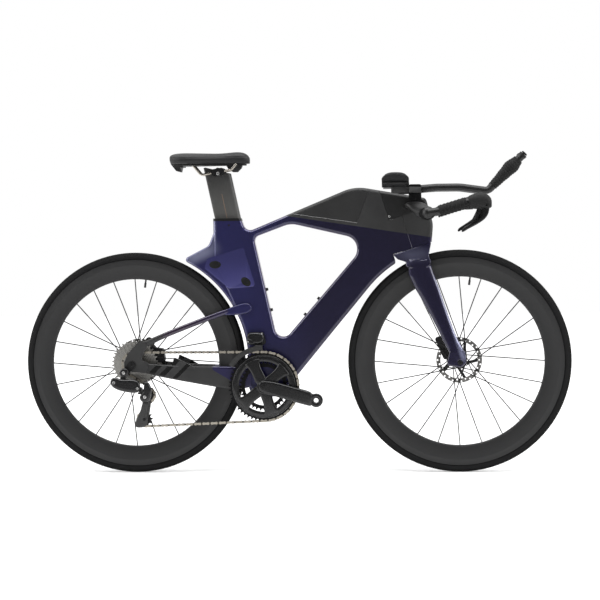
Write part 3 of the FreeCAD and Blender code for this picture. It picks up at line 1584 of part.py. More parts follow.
def derailleur_link(y):
    """Link plate with an upright boss at each end."""
    half = link_thickness / 2
    corners = [V(pin_back_x, 0, link_high), V(pin_back_x, 0, link_high + link_boss_height),
               V(pin_x, 0, boss_low + link_boss_height), V(pin_x, 0, boss_low)]
    plate = slab([(corner, 0) for corner in corners], y - half, y + half)
    for x, low in ((pin_back_x, link_high), (pin_x, boss_low)):
        plate = plate.fuse(Part.makeCylinder(link_boss_radius, link_boss_height, V(x, y, low)))
    for x, low in ((pin_back_x, link_high), (pin_x, boss_low)):
        hole = Part.makeCylinder(link_pin_radius + run_gap, link_boss_height * 3, V(x, y, low - link_boss_height))
        plate = plate.cut(hole)
    return plate.removeSplitter()


def lug(x, low, pin_low, rise):
    """Plate across both link pins, with the pins standing on it."""
    first = V(x - lug_margin, link_ys[0] - lug_margin, low)
    plate = Part.makeBox(lug_margin * 2, link_spacing + lug_margin * 2, lug_thickness, first)
    for y in link_ys:
        plate = plate.fuse(Part.makeCylinder(link_pin_radius, rise, V(x, y, pin_low)))
    return plate


export(derailleur_link(link_ys[0]), "derailleur_link_outer")
export(derailleur_link(link_ys[1]), "derailleur_link_inner")
pin_rise = link_boss_height + side_gap + lug_thickness / 2
back_lug_low = link_high + link_boss_height + side_gap
mech_body = peg(hanger_point, hanger_radius, hanger_outer - body_length, hanger_outer)
mech_body = mech_body.fuse(lug(pin_back_x, back_lug_low, link_high, pin_rise))
arm = strap(hanger_point, body_arm_radius, V(pin_back_x, 0, back_lug_low + lug_thickness), body_arm_radius,
            hanger_outer - body_length + side_gap, hanger_outer - side_gap)
arm = arm.cut(half_space(V(0, 0, back_lug_low + side_gap), along_z * -1, wheel_base))
mech_body = mech_body.fuse(arm).cut(peg(hanger_point, pulley_pin_radius, hanger_outer - body_length - overrun,
                                        body_cover + hanger_outer - body_length))
export(mech_body.removeSplitter(), "rear_derailleur_body")

plate_inner = cage_half_width - chain_y
plate_outer = -chain_y - cage_half_width
knuckle_end = plate_outer - cage_plate - side_gap
knuckle = peg(guide_point, knuckle_radius, knuckle_end - knuckle_length, knuckle_end)
front_lug_low = boss_low - side_gap - lug_thickness
knuckle = knuckle.fuse(lug(pin_x, front_lug_low, front_lug_low + lug_thickness / 2, pin_rise))
knuckle = knuckle.cut(peg(guide_point, pulley_pin_radius + run_gap, knuckle_end - knuckle_length / 2, overrun + knuckle_end))
export(knuckle.removeSplitter(), "derailleur_knuckle")

cage = strap(guide_point, cage_end_radius, tension_point, cage_tip_radius, plate_outer - cage_plate, plate_outer)
cage = cage.fuse(strap(guide_point, cage_end_radius, tension_point, cage_tip_radius, plate_inner, plate_inner + cage_plate))
pivot_low = knuckle_end - knuckle_length / 2 + side_gap
for place, low in ((guide_point, pivot_low), (tension_point, plate_outer - cage_plate)):
    cage = cage.fuse(peg(place, pulley_pin_radius, low, plate_inner + cage_plate))
export(cage.removeSplitter(), "derailleur_cage")
for name, centre in (("guide_pulley", guide_point), ("tension_pulley", tension_point)):
    phase = phases[(pulley_teeth, round(centre.x))]
    half = pulley_thickness / 2
    pulley = toothed(centre, pulley_teeth, phase, -chain_y - half, half - chain_y)
    hub_half = cage_half_width - side_gap
    hub_barrel = peg(centre, pulley_pin_radius * 2, -chain_y - hub_half, hub_half - chain_y)
    pulley = pulley.fuse(hub_barrel)
    bore = peg(centre, pulley_pin_radius + run_gap, -chain_y - cage_half_width - overrun, overrun)
    export(pulley.cut(bore).removeSplitter(), name)


# Front derailleur

mech_corners = [(-mech_rear, mech_low), (-mech_rear, mech_high), (mech_front - mech_corner, mech_high), (mech_front, mech_low)]
front_mech = slab([(bracket_point + V(x, 0, z), mech_corner) for x, z in mech_corners], -frame_half - mech_depth, -frame_half)
motor = bracket_point + V((mech_front - mech_rear) / 2, 0, (mech_low + mech_high) / 2)
front_mech = front_mech.fuse(peg(motor, mech_motor_radius, -frame_half - mech_depth - mech_motor_depth, -frame_half - mech_depth))
export(front_mech.cut(frame).removeSplitter(), "front_derailleur")

cage_inner = pitch_radius(big_teeth) + tooth_height + mech_cage_clear
cage_outer = cage_inner + mech_cage_band


def arc_slab(inner, outer, first, last, low, high):
    """Curved plate round the bottom bracket between two angles."""
    at = lambda radius, angle: bracket_point + turned(angle) * radius + along_y * low
    middle = (first + last) / 2
    edges = [Part.Arc(at(outer, first), at(outer, middle), at(outer, last)).toShape(),
             Part.LineSegment(at(outer, last), at(inner, last)).toShape(),
             Part.Arc(at(inner, last), at(inner, middle), at(inner, first)).toShape(),
             Part.LineSegment(at(inner, first), at(outer, first)).toShape()]
    return Part.Face(Part.Wire(edges)).extrude(along_y * (high - low))


cage_near = -chain_y - mech_cage_half
cage_far = mech_cage_half - chain_y
front_cage = arc_slab(cage_inner, cage_outer, mech_cage_start, mech_cage_end, cage_near - mech_cage_plate, cage_near)
front_cage = front_cage.fuse(arc_slab(cage_inner, cage_outer, mech_cage_start, mech_cage_end, cage_far,
                                      cage_far + mech_cage_plate))
bridge_low = bracket_z + mech_low - side_gap - mech_bridge_height
bridge_x = bracket_point.x - mech_rear / 2
bridge = Part.makeBox(mech_bridge, mech_cage_half * 2 + mech_cage_plate * 2, mech_bridge_height,
                      V(bridge_x, cage_near - mech_cage_plate, bridge_low))
legs = []
for y in (cage_near - mech_cage_plate, cage_far):
    legs.append(Part.makeBox(mech_bridge, mech_cage_plate, mech_bridge_height * 2, V(bridge_x, y, bridge_low - mech_bridge_height)))
front_cage = front_cage.fuse(bridge).fuse(legs[0]).fuse(legs[1])
export(front_cage.removeSplitter(), "front_derailleur_cage")


# Brake calipers straddle their rotors on the left side

def caliper(shares, centre, y):
    outline = [(centre + V(across, 0, up) * rotor_radius, caliper_corner) for across, up in shares]
    half = caliper_width / 2
    body = slab(outline, y - half, y + half)
    gap = caliper_slot / 2
    body = body.cut(peg(centre, rotor_radius + gap, y - gap, y + gap))
    return body


front_caliper = caliper(front_caliper_shares, front_point, front_rotor_y).cut(fork)
export(front_caliper, "front_caliper")
rear_caliper = caliper(rear_caliper_shares, rear_point, rear_rotor_y).cut(mirrored(chain_stay)).cut(mirrored(seat_stay))
export(rear_caliper, "rear_caliper")


# Seat post, saddle clamp and saddle

post = post_blade(post_bottom, post_head + post_head_crown, 0)
head_point = bracket_point + seat_up * post_head
post = post.cut(half_space(head_point, turned(90 - post_head_slope), wheel_base))

nose_x = bracket_x + saddle_nose_ahead
saddle_rear = nose_x - saddle_length
floor_z = bracket_z + saddle_floor


def saddle_place(along, up):
    return V(saddle_rear + along * saddle_length, 0, floor_z + up * saddle_height)


def saddle_wire(along, wide, tall):
    """Cushion section: flat foot, drawn-in sides and a crowned top."""
    half = wide * saddle_width / 2
    foot_half = half * saddle_foot_share
    edge_half = half * saddle_edge_share
    base = saddle_place(along, 0)
    top = tall * saddle_height
    edge = top * (1 - saddle_edge_drop_share)

    def at(y, z):
        return base + V(0, y, z)

    return Part.Wire([
        Part.LineSegment(at(-foot_half, 0), at(foot_half, 0)).toShape(),
        Part.Arc(at(foot_half, 0), at(half, edge / 2), at(edge_half, edge)).toShape(),
        Part.Arc(at(edge_half, edge), at(0, top), at(-edge_half, edge)).toShape(),
        Part.Arc(at(-edge_half, edge), at(-half, edge / 2), at(-foot_half, 0)).toShape(),
    ])


cover = loft([saddle_wire(*share) for share in saddle_cover_shares])
export(cover, "saddle_cover")
plan = []
for along, wide, corner in saddle_base_shares:
    plan.append((saddle_place(along, 0) - along_y * (wide * saddle_width / 2), corner * saddle_length))
for along, wide, corner in reversed(saddle_base_shares):
    plan.append((saddle_place(along, 0) + along_y * (wide * saddle_width / 2), corner * saddle_length))
base = prism(plan, along_z * -saddle_base_height)
hook = slab([(saddle_place(along, up), 0) for along, up in saddle_hook_shares], -saddle_hook_half, saddle_hook_half)
keel = slab([(saddle_place(along, up), 0) for along, up in saddle_keel_shares], -saddle_keel_half, saddle_keel_half)
base = base.fuse(hook).fuse(keel).cut(cover)
export(largest(base), "saddle_base")
rail_route = [
    (saddle_place(rail_rear_share, 0) - along_y * rail_y, 0),
    (saddle_place(*rail_knee_share) - along_y * rail_y, rail_bend),
    (saddle_place(*rail_toe_share) - along_y * rail_y, rail_bend),
    (saddle_place(rail_front_share, 0) - along_y * rail_y, 0),
]
rail = piped(rail_route, rail_radius).cut(base).cut(cover)
rail = largest(rail)
export(pair(rail), "saddle_rails")
rail_way = (rail_route[2][0] - rail_route[1][0]).normalize()
clamp_point = bracket_point + seat_up * (post_head - clamp_height)
rail_at = rail_route[1][0] + rail_way * ((clamp_point.x - rail_route[1][0].x) / rail_way.x)
ear_mid = V(clamp_point.x, 0, rail_at.z)
ear_up = rail_way.cross(along_y).normalize() * -1
ear_corners = []
for along, up in ((-1, -1), (-1, 1), (1, 1), (1, -1)):
    ear_corners.append((ear_mid + rail_way * (along * clamp_length / 2) + ear_up * (up * clamp_height / 2), clamp_corner))
ear_low = post_nose + side_gap
ears = slab(ear_corners, -ear_low - clamp_ear, -ear_low).fuse(slab(ear_corners, ear_low, ear_low + clamp_ear))
barrel_point = ear_mid - ear_up * (clamp_height / 4)
barrel_end = ear_low + clamp_ear + clamp_bolt_proud
saddle_clamp = ears.fuse(peg(barrel_point, clamp_barrel_radius, -ear_low - overrun, ear_low + overrun))
saddle_clamp = saddle_clamp.fuse(peg(barrel_point, clamp_bolt_radius, -barrel_end, barrel_end))
rail_bore = rod(rail_route[1][0] - rail_way * overrun, rail_route[2][0] + rail_way * overrun, rail_radius + run_gap)
saddle_clamp = saddle_clamp.cut(rail_bore).cut(mirrored(rail_bore))
export(saddle_clamp.removeSplitter(), "saddle_clamp")
post = post.cut(peg(barrel_point, clamp_barrel_radius, -post_chord, post_chord))
export(largest(post), "seat_post")
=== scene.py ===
# %% [markdown]
# # A time trial bike
# This lesson dresses the solid model of a time trial bike. The solids already have the right
# size and place, in metres, with X forward, Y to the rider's left and Z up. Here each surface
# gets its finish, the soft pieces get their real form, and the small fasteners are added.

# %% Load the solid model
import math
import bpy
from mathutils import Matrix, Vector


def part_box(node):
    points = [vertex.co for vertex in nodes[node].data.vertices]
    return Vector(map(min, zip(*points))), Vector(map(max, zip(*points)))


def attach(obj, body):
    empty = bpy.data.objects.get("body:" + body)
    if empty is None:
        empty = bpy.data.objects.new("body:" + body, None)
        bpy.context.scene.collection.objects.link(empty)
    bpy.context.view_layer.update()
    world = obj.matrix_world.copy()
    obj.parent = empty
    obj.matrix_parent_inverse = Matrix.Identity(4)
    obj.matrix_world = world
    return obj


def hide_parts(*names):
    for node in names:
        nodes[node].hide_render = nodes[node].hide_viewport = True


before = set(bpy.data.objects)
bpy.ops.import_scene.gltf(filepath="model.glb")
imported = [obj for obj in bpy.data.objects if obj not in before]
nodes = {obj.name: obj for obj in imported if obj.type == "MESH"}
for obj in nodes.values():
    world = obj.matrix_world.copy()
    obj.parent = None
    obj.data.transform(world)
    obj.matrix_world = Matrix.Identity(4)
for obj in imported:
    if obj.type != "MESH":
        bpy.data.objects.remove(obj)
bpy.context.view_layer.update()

# %% [markdown]
# ## The camera
# The bike was photographed from its drive side with a long lens. The camera stands five metres
# away, a little ahead of the middle, and looks slightly back and down. A long lens keeps the
# wheels round, so the lens length matters as much as the place.

# %% Camera at the photograph's angle
camera_place = Vector((0.3489, -5.0, 0.75))
camera_yaw = 0.067334
camera_pitch = 0.044211
camera_roll = -0.010719
camera_lens = 98.35
camera_sensor = 36

bpy.ops.object.select_all(action="DESELECT")
bpy.ops.object.camera_add()
camera = bpy.context.object
camera.name = "photo_camera"
camera.data.sensor_width = camera_sensor
camera.data.lens = camera_lens
camera_turn = (Matrix.Rotation(camera_yaw, 4, "Z")
               @ Matrix.Rotation(math.pi / 2 - camera_pitch, 4, "X")
               @ Matrix.Rotation(camera_roll, 4, "Z"))
camera.matrix_world = Matrix.Translation(camera_place) @ camera_turn
bpy.context.scene.camera = camera
print("camera at", camera_place)

# %% [markdown]
# ## Shader sums
# A finish is a small network of nodes. Wiring nodes by hand is slow to read, so one class wraps
# a socket and lets it be used in plain sums, and another collects the nodes of one finish.


# %% A socket that can be used in sums
class Flow:
    """One output socket; sums on it add Math nodes."""

    def __init__(self, finish, socket):
        self.finish = finish
        self.socket = socket

    def sum(self, operation, first, second):
        return self.finish.node("ShaderNodeMath", {"operation": operation}, {0: first, 1: second})

    def __add__(self, other):
        return self.sum("ADD", self, other)

    def __radd__(self, other):
        return self.sum("ADD", other, self)

    def __sub__(self, other):
        return self.sum("SUBTRACT", self, other)

    def __rsub__(self, other):
        return self.sum("SUBTRACT", other, self)

    def __mul__(self, other):
        return self.sum("MULTIPLY", self, other)

    def __pow__(self, other):
        return self.sum("POWER", self, other)

    def __abs__(self):
        return self.sum("ABSOLUTE", self, 0.0)


# %% A finish that collects its nodes
class Finish:
    """A material or a world with one shader; constants are set on the shader's own sockets."""

    def __init__(self, name, kind=bpy.data.materials, shader="Principled BSDF", **constants):
        self.made = kind.new(name)
        self.made.use_nodes = True
        self.tree = self.made.node_tree
        self.shader = self.tree.nodes[shader]
        for key, value in constants.items():
            self.shader.inputs[key.replace("_", " ")].default_value = value

    def feed(self, socket, value):
        if isinstance(value, Flow):
            self.tree.links.new(value.socket, socket)
        elif socket.type == "RGBA" and len(value) == 3:
            socket.default_value = (*value, 1)
        else:
            socket.default_value = value

    def node(self, kind, settings=None, values=None, out=0):
        made = self.tree.nodes.new(kind)
        for key, value in (settings or {}).items():
            setattr(made, key, value)
        for key, value in (values or {}).items():
            self.feed(made.inputs[key], value)
        return Flow(self, made.outputs[out])

    def point(self, stretch=None):
        place = self.node("ShaderNodeTexCoord", out="Object")
        if stretch is None:
            return place
        return self.node("ShaderNodeMapping", None, {"Vector": place, "Scale": stretch})

    def axes(self):
        split = self.node("ShaderNodeSeparateXYZ", None, {0: self.point()}).socket.node
        return [Flow(self, output) for output in split.outputs]

    def noise(self, scale, detail=2.0, stretch=(1, 1, 1)):
        values = {"Vector": self.point(stretch), "Scale": scale, "Detail": detail}
        return self.node("ShaderNodeTexNoise", None, values)

    def cells(self, scale, stretch=(1, 1, 1)):
        values = {"Vector": self.point(stretch), "Scale": scale}
        return self.node("ShaderNodeTexVoronoi", None, values)

    def waves(self, value):
        return self.node("ShaderNodeMath", {"operation": "SINE"}, {0: value})

    def ease(self, value, low, high):
        """0 below low, 1 above high and a smooth step between; low may be the larger."""
        values = {"Value": value, "From Min": low, "From Max": high}
        return self.node("ShaderNodeMapRange", {"interpolation_type": "SMOOTHSTEP"}, values)

    def band(self, value, first, last, edge):
        """1 between two values, with a soft edge inside them."""
        return self.ease(value, first, first + edge) * self.ease(value, last, last - edge)

    def mix(self, share, first, second):
        settings = {"data_type": "RGBA"}
        return self.node("ShaderNodeMix", settings, {0: share, 6: first, 7: second}, out=2)

    def bump(self, height, strength, distance):
        values = {"Height": height, "Strength": strength, "Distance": distance}
        self.feed(self.shader.inputs["Normal"], self.node("ShaderNodeBump", None, values))

    def round(self, centre):
        """Distance from a wheel's axle, in the side view."""
        x, _, z = self.axes()
        return ((x - centre[0]) ** 2 + (z - centre[1]) ** 2) ** 0.5

    def set(self, **flows):
        for key, value in flows.items():
            self.feed(self.shader.inputs[key.replace("_", " ")], value)
        print("finish", self.made.name)
        return self.made


# %% Wearing a finish
def coat(data, material):
    """Puts one finish on a whole mesh."""
    data.materials.clear()
    data.materials.append(material)


def wear(material, *names):
    """Gives solids of the model their finish."""
    for name in names:
        coat(nodes[name].data, material)


def grey(shade, cold=0.0):
    """A grey, or a slightly bluer one."""
    return (shade, shade, shade + cold)


# %% [markdown]
# ## Places that the finishes need
# Rings and tyres are painted by their distance from an axle, so the axle places are written
# once, taken from the boxes of the solids themselves.


# %% Axle places
def middle_of(node):
    low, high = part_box(node)
    return ((low[0] + high[0]) / 2, (low[2] + high[2]) / 2)


front_axle = middle_of("front_tyre")
rear_axle = middle_of("rear_tyre")
crank_axle = middle_of("chainrings")
print("axles at", front_axle, rear_axle, "crank at", crank_axle)

# %% [markdown]
# ## Frame paint
# The frame is a dark indigo metallic under clear lacquer. It is bluer round the seat tube and
# nearly black at the head. The narrow edge faces carry a painted violet sheen, and painted
# highlights, paler paint, lie along the seat tube's back, the tail and the fork's leading edge.
# Above one straight line the frame is bare carbon, so the same finish carries both, split by a
# plane through the bike.

# %% Tones of the paint and the carbon
paint_dark = (0.007, 0.0048, 0.03)
paint_blue = (0.0165, 0.016, 0.095)
violet_sheen_tone = (0.06, 0.026, 0.095)
paint_highlight_tone = (0.24, 0.25, 0.38)
paint_flake = (0.16, 0.15, 0.34)
paint_metal = 0.55
paint_rough = 0.3
flake_scale = 1900
edge_half, side_half = 0.0135, 0.0222
carbon_grey = grey(0.014, 0.0005)
carbon_pale = grey(0.03)
carbon_from = -0.029
carbon_slope = 0.1573
carbon_low, carbon_high = 0.7852, 0.7868


def lay_up(finish, grain, patch_scale, patch_share, grain_share, shade=1.0):
    """Charcoal lay-up: broad patches of fibre with a fine grain along them."""
    patches = finish.ease(finish.cells(patch_scale, (1, 0.2, 1)), 0.2, 0.9)
    low, high = [[value * shade for value in tone] for tone in (carbon_grey, carbon_pale)]
    return finish.mix(patches * patch_share + grain * grain_share, low, high)


def carbon_tone(finish):
    return lay_up(finish, finish.noise(260, 3, (0.25, 1, 1.6)), 16, 0.35, 0.45)


def beside_line(finish, first, last, reach):
    """1 on a line in the side view, fading to 0 at a distance and past its ends."""
    x, _, z = finish.axes()
    way = Vector((last[0] - first[0], last[1] - first[1]))
    length = way.length
    way.normalize()
    x, z = x - first[0], z - first[1]
    ends = finish.band(x * way.x + z * way.y, -reach, length + reach, 2 * reach)
    return finish.ease(abs(x * way.y - z * way.x), reach, 0.0) * ends


# %% Indigo paint with a carbon top
def indigo(name, blue_from, blue_to, carbon_top, *highlight_lines):
    """Indigo that turns blue between two places along the bike, with a painted violet sheen on the
    edge faces and painted highlights along given lines.
    """
    finish = Finish(name, Coat_Roughness=0.04, Specular_IOR_Level=0.5)
    x, y, z = finish.axes()
    flake = finish.noise(flake_scale, 1)
    tone = finish.mix(finish.ease(x, blue_from, blue_to), paint_dark, paint_blue)
    # Painted sheen: faces near the middle of the bike, the narrow edges, are painted violet for the
    # tint the paint shows at a grazing angle.
    rim = 1 - finish.ease(abs(y), edge_half, side_half)
    tone = finish.mix(rim * 0.75, tone, violet_sheen_tone)
    tone = finish.mix(finish.ease(flake, 0.6, 0.8) * 0.3, tone, paint_flake)
    # Painted highlights: the paint turns pale along each given line, where light catches the edge.
    for first, last, reach, share in highlight_lines:
        tone = finish.mix(beside_line(finish, first, last, reach) * share, tone, paint_highlight_tone)
    if not carbon_top:
        return finish.set(Base_Color=tone, Metallic=paint_metal,
                          Roughness=paint_rough + flake * 0.08, Coat_Weight=1.0)
    bare = finish.ease(z + (x - carbon_from) * carbon_slope, carbon_low, carbon_high)
    tone = finish.mix(bare, tone, carbon_tone(finish))
    return finish.set(Base_Color=tone, Metallic=paint_metal - bare * paint_metal,
                      Roughness=paint_rough + bare * 0.24 + flake * 0.06, Coat_Weight=1 - bare)


# Painted highlights on the frame and fork: first and last point of a line, reach and share.
seat_highlight = ((-0.2515, 0.775), (-0.2515, 0.705), 0.016, 0.55)
tail_highlight = ((-0.25, 0.69), (-0.336, 0.653), 0.034, 0.95)
crown_highlight = ((0.32, 0.664), (0.405, 0.668), 0.034, 0.25)
fork_highlight = ((0.428, 0.6), (0.509, 0.345), 0.013, 0.8)
frame_paint = indigo("indigo_carbon_paint", 0.1, -0.22, True, seat_highlight, tail_highlight)
fork_paint = indigo("indigo_fork_paint", 0.5, 0.62, False, crown_highlight, fork_highlight)
wear(frame_paint, "main_frame", "nose_fairing")

# %% [markdown]
# ## Hatch, stays and bare carbon
# The storage hatch is a paler blue-violet than the frame round it. The stays fade from paint
# to bare carbon, and the lower stays carry three slanted gloss stripes. The top box, the seat
# post and the cockpit are bare carbon in slightly different greys.

# %% Hatch paint
hatch_low_tone = (0.054, 0.052, 0.205)
hatch_high_tone = (0.033, 0.032, 0.135)
hatch_flake = (0.16, 0.15, 0.36)
hatch = Finish("hatch_blue_paint", Coat_Weight=1.0, Coat_Roughness=0.05, Metallic=0.5)
_, _, z = hatch.axes()
tone = hatch.mix(hatch.ease(z, 0.57, 0.68), hatch_low_tone, hatch_high_tone)
tone = hatch.mix(hatch.ease(hatch.noise(flake_scale, 1), 0.6, 0.8) * 0.3, tone, hatch_flake)
hatch_paint = hatch.set(Base_Color=tone, Roughness=0.28 + hatch.noise(1200, 1) * 0.1)

# %% Upper stays
upper_rear_sheen_tone = (0.026, 0.013, 0.034)
upper_front_tone = (0.018, 0.013, 0.058)
upper_stay = Finish("upper_stay_paint", Coat_Roughness=0.06)
x, _, _ = upper_stay.axes()
painted = upper_stay.ease(x, -0.425, -0.375)
# Painted sheen: the rear of the painted stays turns maroon-violet, for the tint the paint shows at
# a grazing angle.
tone = upper_stay.mix(upper_stay.ease(x, -0.36, -0.17), upper_rear_sheen_tone, upper_front_tone)
tone = upper_stay.mix(painted, carbon_tone(upper_stay), tone)
wear(upper_stay.set(Base_Color=tone, Metallic=painted * 0.5, Roughness=0.5 - painted * 0.18,
                    Coat_Weight=painted), "seat_stays")

# %% Lower stays
stripe_spans = ((-0.76, -0.74), (-0.722, -0.702), (-0.672, -0.656))
stripe_edge = 0.0005
lower_tone = (0.014, 0.011, 0.064)
lower_stay = Finish("lower_stay_carbon", Coat_Roughness=0.06)
x, _, z = lower_stay.axes()
slant = x - z
stripes = 0.0
for first, last in stripe_spans:
    stripes = stripes + lower_stay.band(slant, first - stripe_edge, last + stripe_edge,
                                        2 * stripe_edge)
painted = lower_stay.ease(z + (x + 0.253) * 0.62, 0.317, 0.319)
painted = painted * lower_stay.ease(x, -0.256, -0.254)
tone = lower_stay.mix(stripes, carbon_tone(lower_stay), grey(0.006))
tone = lower_stay.mix(painted, tone, lower_tone)
wear(lower_stay.set(Base_Color=tone, Metallic=painted * 0.5,
                    Roughness=0.52 - painted * 0.2 - stripes * 0.4, Coat_Weight=painted),
     "chain_stays")


# %% Bare carbon
def carbon(name, shade, roughness, fibre):
    """Bare carbon: a shade of the lay-up, with its grain stretched along the fibre."""
    finish = Finish(name, Specular_IOR_Level=0.45)
    grain = finish.noise(300, 3, fibre)
    finish.bump(finish.noise(900, 2, fibre), 0.12, 0.0002)
    return finish.set(Base_Color=lay_up(finish, grain, 14, 0.4, 0.4, shade),
                      Roughness=roughness + grain * 0.14)


bar_carbon = carbon("bar_carbon", 0.4, 0.32, (1, 0.3, 1))
wear(carbon("box_carbon", 0.8, 0.44, (0.4, 1, 1.4)), "top_box")
wear(carbon("stem_carbon", 0.45, 0.36, (1, 1, 1)), "stem")
wear(bar_carbon, "base_bar", "extensions")

# %% Seat post with a groove and a painted highlight along it
line_top, line_low = (-0.2234, 0.8546), (-0.2092, 0.785)
groove_highlight_tone = (0.2, 0.13, 0.085)
post_dark, post_pale = grey(0.03), (0.085, 0.084, 0.08)
post = Finish("post_carbon", Specular_IOR_Level=0.45)
lean = (line_low[0] - line_top[0]) / (line_low[1] - line_top[1])
x, _, z = post.axes()
off_line = abs(x - line_top[0] - (z - line_top[1]) * lean)
# The groove is pressed in by the bump below; the pale colour along it is a painted highlight.
line = post.ease(off_line, 0.001, 0.0005)
line = line * post.ease(z, line_top[1] + 0.002, line_top[1] - 0.002)
grain = post.noise(300, 3, (1.6, 1, 0.25))
tone = post.mix(post.ease(z, 0.92, 0.78) * 0.6 + grain * 0.4, post_dark, post_pale)
post.bump(grain * 0.4 - line, 0.25, 0.0005)
wear(post.set(Base_Color=post.mix(line, tone, groove_highlight_tone), Roughness=0.36 + grain * 0.14),
     "seat_post")

# %% [markdown]
# ## Wheels
# The deep rims are satin carbon, a touch paler at the shoulder. The tyres are matte black with
# fine moulding ribs on the sidewall. A brake rotor is two metals: a black carrier in the middle
# and a bright drilled track, split by the distance from the axle.


# %% Rims and tyres
def rim_carbon(name, axle):
    finish = Finish(name, Specular_IOR_Level=0.45)
    out = finish.round(axle)
    grain = finish.noise(240, 3)
    shoulder = finish.ease(out, 0.262, 0.3) * finish.ease(out, 0.318, 0.304)
    tone = finish.mix(shoulder * 0.5 + grain * 0.4, grey(0.011, 0.0005), grey(0.024, 0.0005))
    finish.bump(finish.noise(800, 2), 0.06, 0.0002)
    return finish.set(Base_Color=tone, Roughness=0.4 + grain * 0.14)


def tyre_rubber(name, axle):
    finish = Finish(name, Specular_IOR_Level=0.14)
    out = finish.round(axle)
    side = finish.ease(out, 0.3335, 0.329)
    ribs = finish.waves(out * 5200.0)
    grain = finish.noise(700, 2)
    tone = finish.mix(side * 0.7 + grain * 0.3, grey(0.003), grey(0.01, 0.0005))
    finish.bump(ribs * side + grain * 0.6, 0.25, 0.0003)
    return finish.set(Base_Color=tone, Roughness=0.62 + grain * 0.2)


# %% Rotors
def rotor_metal(name, axle):
    finish = Finish(name)
    track = finish.ease(finish.round(axle), 0.0555, 0.0565)
    brushed = finish.noise(420, 3)
    steel = finish.mix(brushed, (0.14, 0.14, 0.135), (0.34, 0.33, 0.32))
    tone = finish.mix(track, grey(0.012, 0.001), steel)
    return finish.set(Base_Color=tone, Metallic=0.4 + track * 0.6,
                      Roughness=0.42 - track * 0.12 + brushed * 0.1)


for end, axle in (("front", front_axle), ("rear", rear_axle)):
    wear(rim_carbon(end + "_rim_carbon", axle), end + "_rim")
    wear(tyre_rubber(end + "_tyre_rubber", axle), end + "_tyre")
    wear(rotor_metal(end + "_rotor_metal", axle), end + "_rotor")

# %% [markdown]
# ## Metals, plastics and rubber
# Most small pieces are black: anodised alloy, glass-filled plastic or rubber. They differ in
# roughness and grain rather than in colour. The bright ones are brushed, with the chain and
# the saddle rails a little warmer than the cassette.


# %% Two kinds of small finish
def metal(name, low, high, roughness, scale=500, stretch=(1, 1, 1), metallic=1.0):
    finish = Finish(name, Metallic=metallic)
    grain = finish.noise(scale, 3, stretch)
    finish.bump(finish.noise(scale * 2, 2, stretch), 0.05, 0.0001)
    return finish.set(Base_Color=finish.mix(grain, low, high), Roughness=roughness + grain * 0.12)


def moulded(name, low, high, roughness, scale, depth, coat=0.0):
    finish = Finish(name, Coat_Weight=coat, Coat_Roughness=0.05, Specular_IOR_Level=0.3)
    grain = finish.noise(scale, 2)
    finish.bump(grain, depth, 0.0004)
    return finish.set(Base_Color=finish.mix(grain, low, high), Roughness=roughness + grain * 0.15)


black_alloy = metal("black_alloy", grey(0.005, 0.0005), grey(0.014, 0.001), 0.34, metallic=0.4)
bright_steel = metal("bright_steel", grey(0.42), grey(0.68, -0.01), 0.24, 600)
warm_rail = metal("warm_rail", (0.34, 0.31, 0.27), (0.6, 0.56, 0.5), 0.28, 400, (0.2, 1, 1))
cage_grey = metal("cage_grey", grey(0.045), grey(0.11), 0.34, 400)
spoke_black = metal("spoke_black", grey(0.003), grey(0.008), 0.45, 300, metallic=0.0)
gloss_black = moulded("gloss_black", grey(0.003, 0.0005), grey(0.007, 0.0005), 0.2, 500, 0.02,
                      coat=0.55)
satin_plastic = moulded("satin_plastic", grey(0.005, 0.0005), grey(0.013, 0.0005), 0.42, 900, 0.1)
grip_rubber = moulded("grip_rubber", grey(0.007), grey(0.018), 0.58, 1500, 0.35)

# %% Small finishes on their solids
wear(black_alloy, "extension_risers", "front_hub", "rear_hub", "front_thru_axle",
     "rear_thru_axle", "front_caliper", "rear_caliper", "derailleur_hanger", "frame_bearings",
     "saddle_clamp", "seat_collar", "hatch_latch_front", "hatch_latch_rear", "frame_inserts")
wear(warm_rail, "saddle_rails")
wear(cage_grey, "derailleur_cage", "front_derailleur_cage")
wear(gloss_black, "crank_right", "crank_left", "rear_derailleur_body", "derailleur_knuckle",
     "derailleur_link_outer", "derailleur_link_inner")
wear(satin_plastic, "front_derailleur", "guide_pulley", "tension_pulley", "shifter_pods",
     "shift_button_left", "shift_button_right")
wear(grip_rubber, "brake_hoods")

# %% Cassette and chain
sprocket_pale, sprocket_dark = (0.6, 0.59, 0.56), (0.2, 0.19, 0.18)
sprocket = Finish("cassette_steel", Metallic=1.0)
rows = sprocket.waves(sprocket.round(rear_axle) * 1500.0)
grain = sprocket.noise(500, 3)
share = sprocket.ease(rows, 0.1, 0.9) * 0.7 + grain * 0.3
cassette_steel = sprocket.set(Base_Color=sprocket.mix(share, sprocket_pale, sprocket_dark),
                              Roughness=0.3 + grain * 0.12)
wear(cassette_steel, "cassette")

chain_middle = -0.048
inner_plate_tone, outer_plate_tone = (0.06, 0.053, 0.043), (0.52, 0.48, 0.41)
plates = Finish("warm_chain", Metallic=1.0)
_, y, _ = plates.axes()
outer_plate = plates.ease(abs(y - chain_middle), 0.002, 0.0024)
grain = plates.noise(900, 3)
tone = plates.mix(outer_plate * 0.8 + grain * 0.2, inner_plate_tone, outer_plate_tone)
warm_chain = plates.set(Base_Color=tone, Roughness=0.3 + grain * 0.12)

